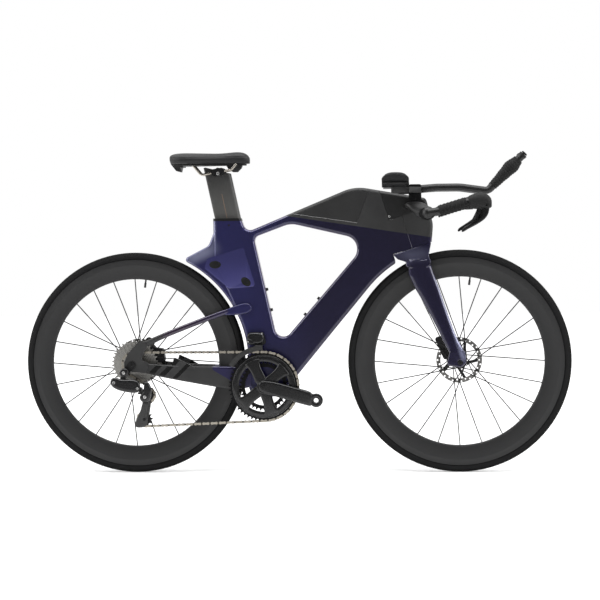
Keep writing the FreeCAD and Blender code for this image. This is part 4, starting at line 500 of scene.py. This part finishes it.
# %% Chainrings
rings = Finish("chainring_alloy", Metallic=0.8)
out = rings.round(crank_axle)
grain = rings.noise(500, 3)
pale = rings.band(out, 0.088, 0.0902, 0.0004) + rings.band(out, 0.095, 0.0962, 0.0003) * 0.6
black = rings.mix(grain, grey(0.005, 0.0005), grey(0.013, 0.001))
tone = rings.mix(pale, black, grey(0.4))
wear(rings.set(Base_Color=tone, Roughness=0.3 + grain * 0.12), "chainrings")

# %% [markdown]
# ## Tools for new pieces
# A soft piece starts as a copy of its plain solid. The solid is made of loose triangles, so the
# copy is joined first, then given an even mesh that can be smoothed or puffed up. Everything is
# deselected before each step, because an operator acts on all that is selected.


# %% Select, edit, apply
def only(piece):
    bpy.ops.object.select_all(action="DESELECT")
    piece.select_set(True)
    bpy.context.view_layer.objects.active = piece


def edit(piece):
    """Enters edit mode with everything in the piece selected."""
    only(piece)
    bpy.ops.object.mode_set(mode="EDIT")
    bpy.ops.mesh.select_all(action="SELECT")


def leave():
    bpy.ops.object.mode_set(mode="OBJECT")


def face_outwards():
    bpy.ops.mesh.select_all(action="SELECT")
    bpy.ops.mesh.normals_make_consistent(inside=False)


def apply(piece, kind, **settings):
    """Adds one modifier and applies it."""
    only(piece)
    modifier = piece.modifiers.new(kind.lower(), kind)
    for key, value in settings.items():
        setattr(modifier, key, value)
    bpy.ops.object.modifier_apply(modifier=modifier.name)


def even(piece, size):
    apply(piece, "REMESH", mode="VOXEL", voxel_size=size)


def smooth(piece, times):
    apply(piece, "SMOOTH", factor=0.5, iterations=times)


def soften(piece, width, angle):
    """Bevels the edges that are sharper than an angle."""
    apply(piece, "BEVEL", width=width, segments=3, limit_method="ANGLE",
          angle_limit=math.radians(angle))


# %% Copies, new pieces and finished ones
weld_gap = 0.00002
sideways_turn = (math.pi / 2, 0, 0)


def fresh(name, data):
    """A new object with its own copy of a mesh."""
    piece = bpy.data.objects.new(name, data.copy())
    bpy.context.scene.collection.objects.link(piece)
    return piece


def joined_copy(node, name):
    """A copy of a solid, with its loose triangles joined."""
    piece = fresh(name, nodes[node].data)
    piece.data.materials.clear()
    edit(piece)
    bpy.ops.mesh.remove_doubles(threshold=weld_gap)
    leave()
    return piece


def primitive(name, add, **settings):
    """A new plain shape, with its place and turn taken into its mesh."""
    bpy.ops.object.select_all(action="DESELECT")
    add(**settings)
    piece = bpy.context.object
    piece.name = name
    bpy.ops.object.transform_apply(location=True, rotation=True, scale=True)
    return piece


def disc(name, points):
    return primitive(name, bpy.ops.mesh.primitive_circle_add, vertices=points, radius=1,
                     fill_type="NGON")


def settle(piece, material, body, slot, *replaced, crease=180):
    """Smooth shading up to a crease angle, finish and body of a finished piece; the slot is not
    used.
    """
    only(piece)
    bpy.ops.object.shade_smooth_by_angle(angle=math.radians(crease))
    coat(piece.data, material)
    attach(piece, body)
    if replaced:
        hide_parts(*replaced)
    print(piece.name, len(piece.data.polygons), "faces")


# %% [markdown]
# ## Saddle
# The saddle is a firm cushion under a thin smooth cover. Its crown, drawn-in sides and nose come
# from the solid. The even mesh is smoothed, the tail is sloped, and a sewn seam is pressed in
# along the side where the top panel meets the skirt. The shell below takes the same slope.

# %% Slope of the tail
tail_length = 0.06
tail_slope = 0.009
tail_reach = 0.003
cover_low, cover_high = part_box("saddle_cover")
cover_height = cover_high.z - cover_low.z


def slope_tail(piece):
    """Moves the tail forwards at the bottom and a little back at the top."""
    for vertex in piece.data.vertices:
        behind = max(1 - (vertex.co.x - cover_low.x) / tail_length, 0)
        down = (cover_high.z - vertex.co.z) / cover_height
        vertex.co.x += behind * (tail_slope * down - tail_reach)


# %% Saddle skin
cover = Finish("saddle_skin", Specular_IOR_Level=0.4)
grain = cover.cells(900)
cover.bump(grain, 0.2, 0.0003)
tone = cover.mix(cover.noise(30, 2), grey(0.006, 0.0005), grey(0.014, 0.001))
saddle_skin = cover.set(Base_Color=tone, Roughness=0.46 + grain * 0.16)

# %% Saddle cover
saddle_voxel = 0.0026
seam_depth = 0.0009
seam_half = 0.0021
seam_rise = 0.02
seam_share = 0.46
seam_height = cover_low.z + cover_height * seam_share
saddle = joined_copy("saddle_cover", "saddle_padding")
even(saddle, saddle_voxel)
smooth(saddle, 10)
slope_tail(saddle)
for vertex in saddle.data.vertices:
    line = seam_height + seam_rise * (vertex.co.x - cover_low.x)
    away = abs(vertex.co.z - line) / seam_half
    if away < 1 and abs(vertex.normal.z) < 0.8:
        vertex.co -= vertex.normal * (seam_depth * (1 - away * away))
settle(saddle, saddle_skin, "saddle", "saddle_skin", "saddle_cover")

# %% Saddle shell
saddle_shell = joined_copy("saddle_base", "saddle_shell")
slope_tail(saddle_shell)
settle(saddle_shell, satin_plastic, "saddle", "plastic_black", "saddle_base", crease=35)

# %% [markdown]
# ## Arm pads
# The arm pads are foam in a stretch cover, held in curved cups. Cloth under a little pressure
# gives them their puffed edge. They start slightly small, and no point may move far, so they
# still sit in their cups. Then the top is raised in the middle and drawn down at both ends. The
# cups' walls end below the pads' shoulders, so that the foam shows from the side.

# %% Pad cover
thread_count = 5200.0
weave = Finish("pad_cover", Specular_IOR_Level=0.3, Sheen_Weight=0.15)
x, y, _ = weave.axes()
weave.bump(weave.waves(x * thread_count) * weave.waves(y * thread_count), 0.25, 0.0002)
tone = weave.mix(weave.noise(120, 2), grey(0.005, 0.0005), grey(0.013, 0.001))
pad_cover = weave.set(Base_Color=tone, Roughness=0.66 + weave.noise(400, 2) * 0.2)

# %% Puffed arm pads
pad_voxel = 0.003
pad_shrink = 0.0012
pad_reach = 0.0032
pad_crown = 0.007
pad_droop = 0.011
puff_pressure = 4.0
puff_frames = 20
pads = joined_copy("arm_pads", "arm_pad_cushions")
even(pads, pad_voxel)
smooth(pads, 6)
apply(pads, "DISPLACE", strength=-pad_shrink, mid_level=0.0)
before = [vertex.co.copy() for vertex in pads.data.vertices]
cloth = pads.modifiers.new("puff", "CLOTH")
cloth.settings.use_pressure = True
cloth.settings.uniform_pressure_force = puff_pressure
cloth.settings.effector_weights.gravity = 0
cloth.point_cache.frame_end = puff_frames
for number in range(1, puff_frames + 1):
    bpy.context.scene.frame_set(number)
bpy.ops.object.modifier_apply(modifier=cloth.name)
bpy.context.scene.frame_set(1)
for vertex, start in zip(pads.data.vertices, before):
    shift = vertex.co - start
    if shift.length > pad_reach:
        vertex.co = start + shift.normalized() * pad_reach
print("pads puffed")

# %% Crown of the arm pads
low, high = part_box("arm_pads")
for vertex in pads.data.vertices:
    along = (2 * vertex.co.x - low.x - high.x) / (high.x - low.x)
    up = max((vertex.co.z - low.z) / (high.z - low.z), 0)
    vertex.co.z += up * (pad_crown * (1 - along * along) - pad_droop * along ** 4)
smooth(pads, 24)
settle(pads, pad_cover, "steering", "pad_fabric", "arm_pads")

# %% Cups under the pads
cup_rim = 0.8795
cups = joined_copy("arm_cups", "arm_cup_shells")
edit(cups)
bpy.ops.mesh.bisect(plane_co=(0, 0, cup_rim), plane_no=(0, 0, 1), clear_outer=True, use_fill=True)
leave()
settle(cups, bar_carbon, "steering", "carbon_dark", "arm_cups", crease=35)

# %% [markdown]
# ## Fork blades and spokes
# Seen from the side, a fork blade is broad under the crown and narrows to the axle. A copy of the
# solid fork gets an even mesh, so that it can be shaped, and each height is then moved to its
# drawn edges and smoothed. The spokes are bladed, and a copy of them is made a little fuller.

# %% Fork shell
fork_voxel = 0.002
blade_shifts = ((0.645, 0.0, 0.0), (0.63, -0.012, -0.006), (0.6, -0.019, -0.008),
                (0.56, -0.016, -0.009), (0.52, -0.008, -0.011), (0.48, -0.003, -0.011),
                (0.44, 0.0, -0.01), (0.4, 0.0, -0.007), (0.37, 0.0, 0.0))
fork_shell = joined_copy("fork", "fork_shell")
even(fork_shell, fork_voxel)
blade_rows = []
for height, *shifts in blade_shifts:
    row = [vertex.co.x for vertex in fork_shell.data.vertices
           if abs(vertex.co.z - height) < fork_voxel]
    blade_rows.append((height, min(row), max(row), *shifts))
for vertex in fork_shell.data.vertices:
    for upper, lower in zip(blade_rows, blade_rows[1:]):
        if lower[0] <= vertex.co.z <= upper[0]:
            part = (vertex.co.z - lower[0]) / (upper[0] - lower[0])
            back, fore, rear_shift, front_shift = [
                first + (last - first) * part for first, last in zip(lower[1:], upper[1:])]
            share = min(max((vertex.co.x - back) / (fore - back), 0), 1)
            vertex.co.x += rear_shift + (front_shift - rear_shift) * share
            break
smooth(fork_shell, 4)
settle(fork_shell, fork_paint, "steering", "frame_paint", "fork")

# %% Spoke blades
spoke_growth = 0.0005
for end in ("front", "rear"):
    blades = joined_copy(end + "_spokes", end + "_spoke_blades")
    apply(blades, "DISPLACE", strength=spoke_growth, mid_level=0.0)
    settle(blades, spoke_black, end + "_wheel", "spoke_black", end + "_spokes", crease=30)

# %% [markdown]
# ## Wound tape and grips
# The base bar ends are wound with cushioned tape, and the extension ends carry spindle-shaped
# grips. Both are a sheet rolled into a tube: a fine grid is wrapped round the bar, and the tape
# lap is a saw-tooth that climbs the bar like a screw thread.

# %% A sheet wound round a bar
sheet_gap = 0.00005


def wound(name, start, end, profile, laps, lap_height, around=72, along=90):
    """Tube from start to end; profile gives the radius at a share of the length."""
    piece = primitive(name, bpy.ops.mesh.primitive_grid_add, x_subdivisions=around,
                      y_subdivisions=along, size=1)
    way = (end - start).normalized()
    sideways = way.cross(Vector((0, 1, 0))).normalized()
    third = way.cross(sideways)
    for vertex in piece.data.vertices:
        turn = vertex.co.x + 0.5
        share = vertex.co.y + 0.5
        tooth = (share * laps + turn) % 1.0
        rise = min(tooth * 1.15, 1.0) * min((1 - tooth) * 8, 1.0)
        radius = profile(share) + lap_height * rise
        angle = turn * math.tau
        vertex.co = start + way * (share * (end - start).length) + (
            sideways * math.cos(angle) + third * math.sin(angle)) * radius
    edit(piece)
    bpy.ops.mesh.remove_doubles(threshold=sheet_gap)
    bpy.ops.mesh.select_all(action="DESELECT")
    bpy.ops.mesh.select_non_manifold()
    bpy.ops.mesh.edge_face_add()
    face_outwards()
    leave()
    return piece


# %% The other side of the bike
def gather(name, pieces):
    """Joins pieces into the first one."""
    only(pieces[0])
    for piece in pieces[1:]:
        piece.select_set(True)
    if len(pieces) > 1:
        bpy.ops.object.join()
    pieces[0].name = name
    return pieces[0]


def mirrored_copy(piece, name):
    """The same piece on the other side of the bike."""
    other = fresh(name, piece.data)
    for vertex in other.data.vertices:
        vertex.co.y = -vertex.co.y
    edit(other)
    bpy.ops.mesh.flip_normals()
    leave()
    return other


def both_sides(piece, name):
    """Joins a mirrored copy for the other side of the bike."""
    return gather(name, [piece, mirrored_copy(piece, name + "_left")])


# %% Bar tape
horn_knee = Vector((0.434, -0.196, 0.793))
horn_tip = Vector((0.521, -0.196, 0.819))
horn_way = (horn_tip - horn_knee).normalized()
tape_from, tape_to = 0.001, 0.0844
tape_radius = 0.016
tape_laps = 7.5
tape_lap = 0.0019
tape = wound("tape_right", horn_knee + horn_way * tape_from, horn_knee + horn_way * tape_to,
             lambda share: tape_radius, tape_laps, tape_lap)
tape = both_sides(tape, "bar_tape_wraps")
cork = Finish("bar_tape", Specular_IOR_Level=0.3)
pores = cork.cells(650)
cork.bump(pores, 0.45, 0.0006)
tone = cork.mix(pores, grey(0.004), grey(0.014))
bar_tape = cork.set(Base_Color=tone, Roughness=0.68 + pores * 0.2)
settle(tape, bar_tape, "steering", "rubber_black", "bar_tapes")

# %% Extension grips
grip_elbow = Vector((0.584, -0.052, 0.854))
grip_tip = Vector((0.684, -0.052, 0.956))
grip_from, grip_to = 0.14, 0.9
grip_laps = 13
grip_lap = 0.0011
grip_stops = ((0.0, 0.0118), (0.25, 0.0138), (0.5, 0.0168), (0.76, 0.0203), (1.0, 0.0146))


def grip_radius(share):
    """Smooth swell through the stops."""
    for (first, low), (last, high) in zip(grip_stops, grip_stops[1:]):
        if share <= last:
            part = (share - first) / (last - first)
            part = part * part * (3 - 2 * part)
            return low + (high - low) * part
    return grip_stops[-1][1]


grip_run = grip_tip - grip_elbow
grip = wound("grip_right", grip_elbow + grip_run * grip_from, grip_elbow + grip_run * grip_to,
             grip_radius, grip_laps, grip_lap, along=150)
grip = both_sides(grip, "extension_grip_wraps")
settle(grip, bar_tape, "steering", "rubber_black", "extension_grips")

# %% [markdown]
# ## Hatch edge and latch pockets
# The storage hatch is a flat plate with a softened edge that catches a pale line of light. Each
# latch lies in a dark oval pocket. The plate's edge is bevelled on a copy, and a pocket is a thin
# oval skin on the plate, because the latch itself turns above it.

# %% Bevelled hatch
hatch_plate = joined_copy("storage_hatch", "hatch_plate")
soften(hatch_plate, 0.0012, 40)
settle(hatch_plate, hatch_paint, "hatch", "hatch_paint", "storage_hatch", crease=50)


# %% Faces picked by code, and moulded covers
def pick(piece, test):
    """Enters edit mode with the faces that pass the test selected."""
    edit(piece)
    bpy.ops.mesh.select_mode(type="FACE")
    bpy.ops.mesh.select_all(action="DESELECT")
    leave()
    for face in piece.data.polygons:
        face.select = test(face)
    bpy.ops.object.mode_set(mode="EDIT")


def pull(way):
    """Extrudes the picked faces."""
    bpy.ops.mesh.extrude_region_move(TRANSFORM_OT_translate={"value": way})


def moulding(name, outline, inner, outer, ease, rounds=2):
    """A cover: an outline in the side view, raised from an inner Y to an outer Y and eased."""
    piece = disc(name, len(outline))
    for vertex, (x, z) in zip(piece.data.vertices, outline):
        vertex.co = (x, inner, z)
    rise = outer - inner
    pick(piece, lambda face: True)
    pull((0, rise * 0.6, 0))
    bpy.ops.mesh.inset(thickness=ease)
    bpy.ops.transform.translate(value=(0, rise * 0.4, 0))
    bpy.ops.mesh.inset(thickness=ease)
    face_outwards()
    leave()
    apply(piece, "SUBSURF", levels=rounds, render_levels=rounds)
    return piece


def oval(centre, long, short, degrees=0, points=14):
    """Outline points of an oval in the side view."""
    turn = math.radians(degrees)
    places = []
    for number in range(points):
        angle = math.tau * number / points
        across, up = long * math.cos(angle), short * math.sin(angle)
        places.append((centre[0] + across * math.cos(turn) - up * math.sin(turn),
                       centre[1] + across * math.sin(turn) + up * math.cos(turn)))
    return places


# %% Latch pockets
plate_face = -0.023
pocket_skin = -0.0236
pocket_ease = 0.0006
rear_oval = oval((-0.2455, 0.6392), 0.0185, 0.0122)
front_oval = oval((-0.1515, 0.5862), 0.0175, 0.012, -42)
pockets = [moulding("pocket", outline, plate_face, pocket_skin, pocket_ease)
           for outline in (rear_oval, front_oval)]
settle(gather("latch_pockets", pockets), satin_plastic, "hatch", "plastic_black")

# %% [markdown]
# ## Chain links
# A chain is rollers and waisted side plates, with the outer plates over the inner ones. The solid
# chain gives each link's place. One plate of each kind is drawn, thickened, and copied to every
# link, so the figure-of-eight plates show and the file stays small.

# %% One link of each kind
half_pitch = 0.00635
plate_radius = 0.0043
waist_radius = 0.0029


def link_model(name, low, high, roller):
    """Two waisted plates a little apart, joined by a roller or pin at one end."""
    plate = disc(name, 20)
    for vertex in plate.data.vertices:
        across, up = vertex.co.x, vertex.co.y
        waist = waist_radius + (plate_radius - waist_radius) * min(abs(across) * 1.5, 1) ** 2
        rise = math.copysign(min(abs(up) * 1.5, 1), up)
        vertex.co = (across * (half_pitch + plate_radius), low, rise * waist)
    pick(plate, lambda face: True)
    pull((0, high - low, 0))
    face_outwards()
    leave()
    apply(plate, "MIRROR", use_axis=(False, True, False))
    barrel = primitive("barrel", bpy.ops.mesh.primitive_cylinder_add, vertices=10, radius=roller,
                       depth=high * 2.2, location=(half_pitch, 0, 0), rotation=sideways_turn)
    return gather(name, [plate, barrel])


inner_link = link_model("inner_link_model", 0.0011, 0.0019, 0.0017)
outer_link = link_model("outer_link_model", 0.00196, 0.00276, 0.0019)
print("link models ready")

# %% Links along the chain
outer_from = 0.0023
solid_links = joined_copy("chain", "solid_links")
edit(solid_links)
bpy.ops.mesh.separate(type="LOOSE")
leave()
links = []
for solid in list(bpy.context.selected_objects):
    corners = [vertex.co for vertex in solid.data.vertices]
    middle = sum(corners, Vector()) / len(corners)
    runs = [corner.x - middle.x for corner in corners]
    rises = [corner.z - middle.z for corner in corners]
    spread = sum(run ** 2 for run in runs) - sum(rise ** 2 for rise in rises)
    slope = math.atan2(2 * sum(run * rise for run, rise in zip(runs, rises)), spread) / 2
    wide = max(abs(corner.y - chain_middle) for corner in corners)
    link = fresh("link", (outer_link if wide > outer_from else inner_link).data)
    place = Matrix.Translation((middle.x, chain_middle, middle.z))
    link.data.transform(place @ Matrix.Rotation(-slope, 4, "Y"))
    links.append(link)
    bpy.data.objects.remove(solid)
for model in (inner_link, outer_link):
    bpy.data.objects.remove(model)
settle(gather("chain_links", links), warm_chain, "frame", "chain_bronze", "chain", crease=40)

# %% [markdown]
# ## Roots of the upper stays
# Each thin upper stay widens into a leaf where it meets the seat tube. The leaf is a low moulding
# over the end of the stay, and one is mirrored for the other side.

# %% Stay roots
root_outline = [
    (-0.222, 0.499), (-0.2, 0.5085), (-0.178, 0.517), (-0.158, 0.5225), (-0.142, 0.5215),
    (-0.132, 0.511), (-0.134, 0.4985), (-0.146, 0.49), (-0.165, 0.4862), (-0.195, 0.484),
    (-0.222, 0.483)]
stay_root = moulding("stay_root", root_outline, inner=-0.0222, outer=-0.0338, ease=0.0024)
settle(both_sides(stay_root, "stay_roots"), frame_paint, "frame", "frame_paint")

# %% [markdown]
# ## Derailleur covers
# The electric derailleurs are chunky: glossy moulded covers hide the motor and the links. Each
# cover is an outline in the side view, raised, inset twice and rounded by subdivision. It rides on
# the link or knuckle that it hides, so it swings with it.

# %% A glossy cover
def gloss(piece, body, crease=180):
    settle(piece, gloss_black, body, "crank_black", crease=crease)


# %% Rear derailleur
link_outline = [
    (-0.561, 0.293), (-0.553, 0.303), (-0.538, 0.303), (-0.529, 0.2965), (-0.505, 0.2975),
    (-0.482, 0.2965), (-0.468, 0.289), (-0.465, 0.264), (-0.478, 0.253), (-0.51, 0.257),
    (-0.543, 0.265), (-0.559, 0.278)]
link_cover = moulding("link_cover", link_outline, inner=-0.1002, outer=-0.112, ease=0.0042)
link_foot = moulding("link_foot", oval((-0.499, 0.2765), 0.02, 0.008, -26),
                     inner=-0.095, outer=-0.103, ease=0.002, rounds=1)
gloss(gather("rear_link_cover", [link_cover, link_foot]), "outer_link")
knuckle_outline = [
    (-0.458, 0.2915), (-0.449, 0.291), (-0.4385, 0.283), (-0.4345, 0.269), (-0.4345, 0.25),
    (-0.4385, 0.235), (-0.45, 0.224), (-0.465, 0.226), (-0.474, 0.24), (-0.468, 0.25),
    (-0.458, 0.26)]
knuckle_cap = moulding("knuckle_cap", knuckle_outline, inner=-0.096, outer=-0.107, ease=0.0036)
gloss(knuckle_cap, "knuckle")
hanger_cap = moulding("hanger_cap", oval((-0.518, 0.3165), 0.015, 0.013, 30),
                      inner=-0.0985, outer=-0.1045, ease=0.0028)
gloss(hanger_cap, "frame")

# %% Plate of the rear derailleur's cage
plate_outline = [
    (-0.472, 0.223), (-0.448, 0.223), (-0.453, 0.208), (-0.459, 0.192), (-0.454, 0.174),
    (-0.453, 0.152), (-0.468, 0.144), (-0.489, 0.143), (-0.496, 0.151), (-0.49, 0.17),
    (-0.48, 0.188), (-0.4725, 0.208)]
cage_plate = moulding("cage_plate", plate_outline, inner=-0.0556, outer=-0.0592, ease=0.0022)
settle(cage_plate, cage_grey, "rear_cage", "alloy_silver")

# %% Front derailleur
motor_outline = [
    (-0.15, 0.424), (-0.143, 0.433), (-0.108, 0.433), (-0.096, 0.426), (-0.094, 0.41),
    (-0.104, 0.398), (-0.124, 0.397), (-0.146, 0.404)]
arm_outline = [
    (-0.149, 0.414), (-0.136, 0.416), (-0.122, 0.404), (-0.124, 0.396), (-0.142, 0.396),
    (-0.15, 0.402)]
motor_cover = moulding("motor_cover", motor_outline, inner=-0.0435, outer=-0.054, ease=0.0036)
arm_cover = moulding("arm_cover", arm_outline, inner=-0.043, outer=-0.0575, ease=0.0022)
settle(gather("front_motor_cover", [motor_cover, arm_cover]), gloss_black, "frame", "plastic_black")

# %% [markdown]
# ## Crank and levers
# The crank arm is a broad hollow moulding from the axle to the pedal eye, and spider arms that
# flare at both ends reach a flat ring that faces the large chainring. The brake levers are thin
# blades that curve back under the hood to a turned-up tip, so they replace the plain solids.

# %% Crank cover
crank_outline = [
    (-0.114, 0.281), (-0.1, 0.2915), (-0.052, 0.283), (0.0, 0.267), (0.036, 0.2575),
    (0.053, 0.251), (0.0518, 0.2272), (0.05, 0.2075), (0.036, 0.2105), (0.0, 0.2205),
    (-0.061, 0.239), (-0.102, 0.249), (-0.115, 0.262)]
crank_cover = moulding("crank_cover", crank_outline, inner=-0.061, outer=-0.0768, ease=0.0034)
gloss(crank_cover, "crankset")


# %% Flat rings across the bike
def flat_ring(name, place, outer, inner, thickness, edge, points=96):
    """A flat ring that faces sideways, eased at its edges."""
    piece = primitive(name, bpy.ops.mesh.primitive_circle_add, vertices=points, radius=outer,
                      rotation=sideways_turn)
    edit(piece)
    bpy.ops.mesh.extrude_edges_move()
    shrink = inner / outer
    bpy.ops.transform.resize(value=(shrink, 1, shrink), center_override=(0, 0, 0))
    face_outwards()
    bpy.ops.transform.translate(value=place)
    leave()
    apply(piece, "SOLIDIFY", thickness=thickness, offset=0.0)
    soften(piece, edge, 50)
    return piece


pedal_eye = flat_ring("pedal_eye", (0.0622, -0.0672, 0.2272), outer=0.0205, inner=0.0092,
                      thickness=0.015, edge=0.002, points=48)
gloss(pedal_eye, "crankset", crease=40)

# %% Spider covers
pedal_way = Vector((0.16, -0.0475)).normalized()
spider_turns = (57, 131, -57, -124)
spider_steps = ((0.01, 0.02), (0.036, 0.0165), (0.062, 0.0165), (0.078, 0.0215), (0.087, 0.029))


def spider_outline(turn):
    """One spider arm in the side view: both edges, from the axle out and back."""
    angle = math.atan2(pedal_way.y, pedal_way.x) + math.radians(turn)
    way = Vector((math.cos(angle), math.sin(angle)))
    aside = Vector((-way.y, way.x))
    centre = Vector(crank_axle)
    out = [centre + way * along + aside * half for along, half in spider_steps]
    back = [centre + way * along - aside * half for along, half in reversed(spider_steps)]
    return [tuple(point) for point in out + back]


arms = [moulding("spider_arm", spider_outline(turn), inner=-0.0572, outer=-0.0622, ease=0.003)
        for turn in spider_turns]
gloss(gather("spider_covers", arms), "crankset")

# %% Chainring face
ring_face = flat_ring("chainring_face", (crank_axle[0], -0.0534, crank_axle[1]), outer=0.0935,
                      inner=0.0765, thickness=0.0044, edge=0.0014)
gloss(ring_face, "crankset", crease=40)

# %% Lever blades
lever_outline = [
    (0.58, 0.816), (0.5815, 0.802), (0.5788, 0.785), (0.5695, 0.769), (0.543, 0.752),
    (0.515, 0.739), (0.5035, 0.73), (0.4968, 0.7325), (0.502, 0.744), (0.515, 0.7495),
    (0.5395, 0.7615), (0.556, 0.773), (0.5625, 0.785), (0.5625, 0.8), (0.5615, 0.816)]
right_blade = moulding("right_blade", lever_outline, inner=-0.191, outer=-0.201, ease=0.0024)
left_blade = mirrored_copy(right_blade, "left_blade")
settle(right_blade, black_alloy, "right_lever", "alloy_black", "brake_lever_right")
settle(left_blade, black_alloy, "left_lever", "alloy_black", "brake_lever_left")

# %% [markdown]
# ## Fasteners
# Bolts and caps show how the bike comes apart. A bolt head starts as a short cylinder across the
# bike. Its outer face is inset for a rim, raised, inset again and pushed in for the key socket.


# %% Bolt heads
def bolt(place, radius, height, side=-1):
    """A bolt head whose face looks to the right, or to the left where side is 1."""
    piece = primitive("bolt", bpy.ops.mesh.primitive_cylinder_add, vertices=24, radius=radius,
                      depth=height, location=place, rotation=sideways_turn)
    pick(piece, lambda face: face.normal.y * side > 0.9)
    bpy.ops.mesh.inset(thickness=radius * 0.14)
    bpy.ops.transform.translate(value=(0, side * height * 0.15, 0))
    bpy.ops.mesh.inset(thickness=radius * 0.34)
    pull((0, -side * height * 0.6, 0))
    leave()
    return piece


def pair(x, y, z, radius, height):
    """The same bolt on the right and on the left."""
    return ((x, -y, z), radius, height), ((x, y, z), radius, height, 1)


def fasten(name, body, kind, *bolts):
    heads = [bolt(*one) for one in bolts]
    settle(gather(name, heads), kind[0], body, kind[1], crease=35)


# %% Bolts, from the cockpit back
black_head = (black_alloy, "alloy_black")
bright_head = (bright_steel, "steel_bright")
axle_x, axle_z = 0.4965, 0.339
fasten("cockpit_bolts", "steering", black_head,
       *pair(0.365, 0.0655, 0.83, 0.0034, 0.003), *pair(0.365, 0.0655, 0.862, 0.0034, 0.003),
       *pair(0.5725, 0.2098, 0.8089, 0.0038, 0.004), ((axle_x, -0.0612, axle_z), 0.0072, 0.003))
fasten("stem_bolt", "steering", bright_head, ((0.287, -0.0222, 0.78), 0.003, 0.002))
fasten("frame_bolts", "frame", black_head, *pair(-axle_x, 0.0855, axle_z, 0.0072, 0.003))
fasten("derailleur_bolts", "frame", bright_head,
       ((-0.518, -0.105, 0.3165), 0.0048, 0.003), ((-0.102, -0.0545, 0.4285), 0.0024, 0.002),
       ((-0.145, -0.0585, 0.405), 0.0026, 0.002))
fasten("knuckle_bolt", "knuckle", bright_head, ((-0.4545, -0.107, 0.243), 0.0048, 0.003))
fasten("link_bolts", "outer_link", bright_head,
       ((-0.548, -0.1118, 0.2865), 0.004, 0.003), ((-0.476, -0.1112, 0.269), 0.0034, 0.003))
fasten("pulley_bolt", "rear_cage", black_head, ((-0.4646, -0.0596, 0.1696), 0.0048, 0.002))
fasten("crank_cap", "crankset", black_head, ((-0.0978, -0.0762, 0.268), 0.0085, 0.003))
fasten("lockring", "sprockets", (cassette_steel, "alloy_silver"),
       ((-axle_x, -0.0695, axle_z), 0.0165, 0.003))
fasten("clamp_bolts", "post", bright_head, *pair(-0.2324, 0.03, 0.9161, 0.0046, 0.003))

# %% Bottle screws
screw_radius, screw_height = 0.0046, 0.0045
seat_tube_way = Vector((0.977, 0, 0.213))
down_tube_way = Vector((-0.757, 0, 0.653))
screw_places = (((-0.0747, 0, 0.4995), seat_tube_way), ((-0.0883, 0, 0.562), seat_tube_way),
                ((0.0264, 0, 0.4852), down_tube_way), ((0.0682, 0, 0.5336), down_tube_way))
screws = []
for place, way in screw_places:
    screw = bolt((0, 0, 0), screw_radius, screw_height)
    turn = Vector((0, -1, 0)).rotation_difference(way).to_matrix().to_4x4()
    screw.data.transform(Matrix.Translation(place) @ turn)
    screws.append(screw)
settle(gather("bottle_screws", screws), black_alloy, "frame", "alloy_black", crease=35)

# %% [markdown]
# ## Floor and light
# The photograph has a white ground with a thin soft shadow. A white floor under soft light
# gives that, with a glow that only the camera sees and that grows with distance, so the floor
# ends in plain white. The floor on the camera's side is darker, as a studio is, and so the black
# pieces stay black. Big soft lamps above and at both ends draw the pale lines on the edges.

# %% White ground
floor_size = 18.0
floor = primitive("studio_floor", bpy.ops.mesh.primitive_plane_add, size=floor_size)
ground = Finish("white_ground", Roughness=1.0, Specular_IOR_Level=0.0, Emission_Strength=1.0)
x, y, _ = ground.axes()
beside = ground.ease(y, -2.6, -1.7)
far = ground.ease((x ** 2 + y ** 2) ** 0.5, 1.0, 3.2)
seen = ground.node("ShaderNodeLightPath", out="Is Camera Ray")
mirrored = ground.node("ShaderNodeLightPath", out="Is Glossy Ray")
glow = seen * (0.24 + far * 0.46 + (1 - beside) * 0.3)
glow = glow + mirrored * ground.ease(y, -0.4, 1.2) * 0.5
coat(floor.data, ground.set(Base_Color=ground.mix(beside, grey(0.22), grey(0.86)),
                            Emission_Color=ground.mix(glow, grey(0), grey(1))))

# %% World
world_ahead, world_behind = 0.16, 1.0
sky = Finish("studio", bpy.data.worlds, "Background")
way = sky.node("ShaderNodeTexCoord", out="Generated")
y = sky.node("ShaderNodeSeparateXYZ", None, {0: way}, out="Y")
facing = sky.node("ShaderNodeMapRange", None, {"Value": y, "From Min": -0.6, "From Max": 0.6,
                                               "To Min": world_ahead, "To Max": world_behind})
seen = sky.node("ShaderNodeLightPath", out="Is Camera Ray")
strength = facing.sum("MAXIMUM", facing, seen)
bpy.context.scene.world = sky.set(Color=grey(1), Strength=strength)


# %% Lamps
def soft_lamp(name, place, target, size, watts):
    bpy.ops.object.select_all(action="DESELECT")
    bpy.ops.object.light_add(type="AREA", location=place)
    lamp = bpy.context.object
    lamp.name = name
    lamp.data.shape = "RECTANGLE"
    lamp.data.size, lamp.data.size_y = size
    lamp.data.energy = watts
    lamp.rotation_euler = (Vector(target) - Vector(place)).to_track_quat("-Z", "Y").to_euler()


soft_lamp("lamp_over", (0.0, -0.6, 3.6), (0, 0, 0.4), (3.6, 2.4), 120)
soft_lamp("lamp_rear_end", (-3.2, -1.2, 1.8), (-0.2, 0, 0.6), (1.6, 2.4), 60)
soft_lamp("lamp_front_end", (3.2, -1.2, 1.8), (0.2, 0, 0.6), (1.6, 2.4), 60)
bpy.context.scene.view_settings.view_transform = "Standard"
print("light ready")

# %% [markdown]
# ## Finish
# This last cell only prints that the dressing is done.

# %% Finish
print("dressing done")
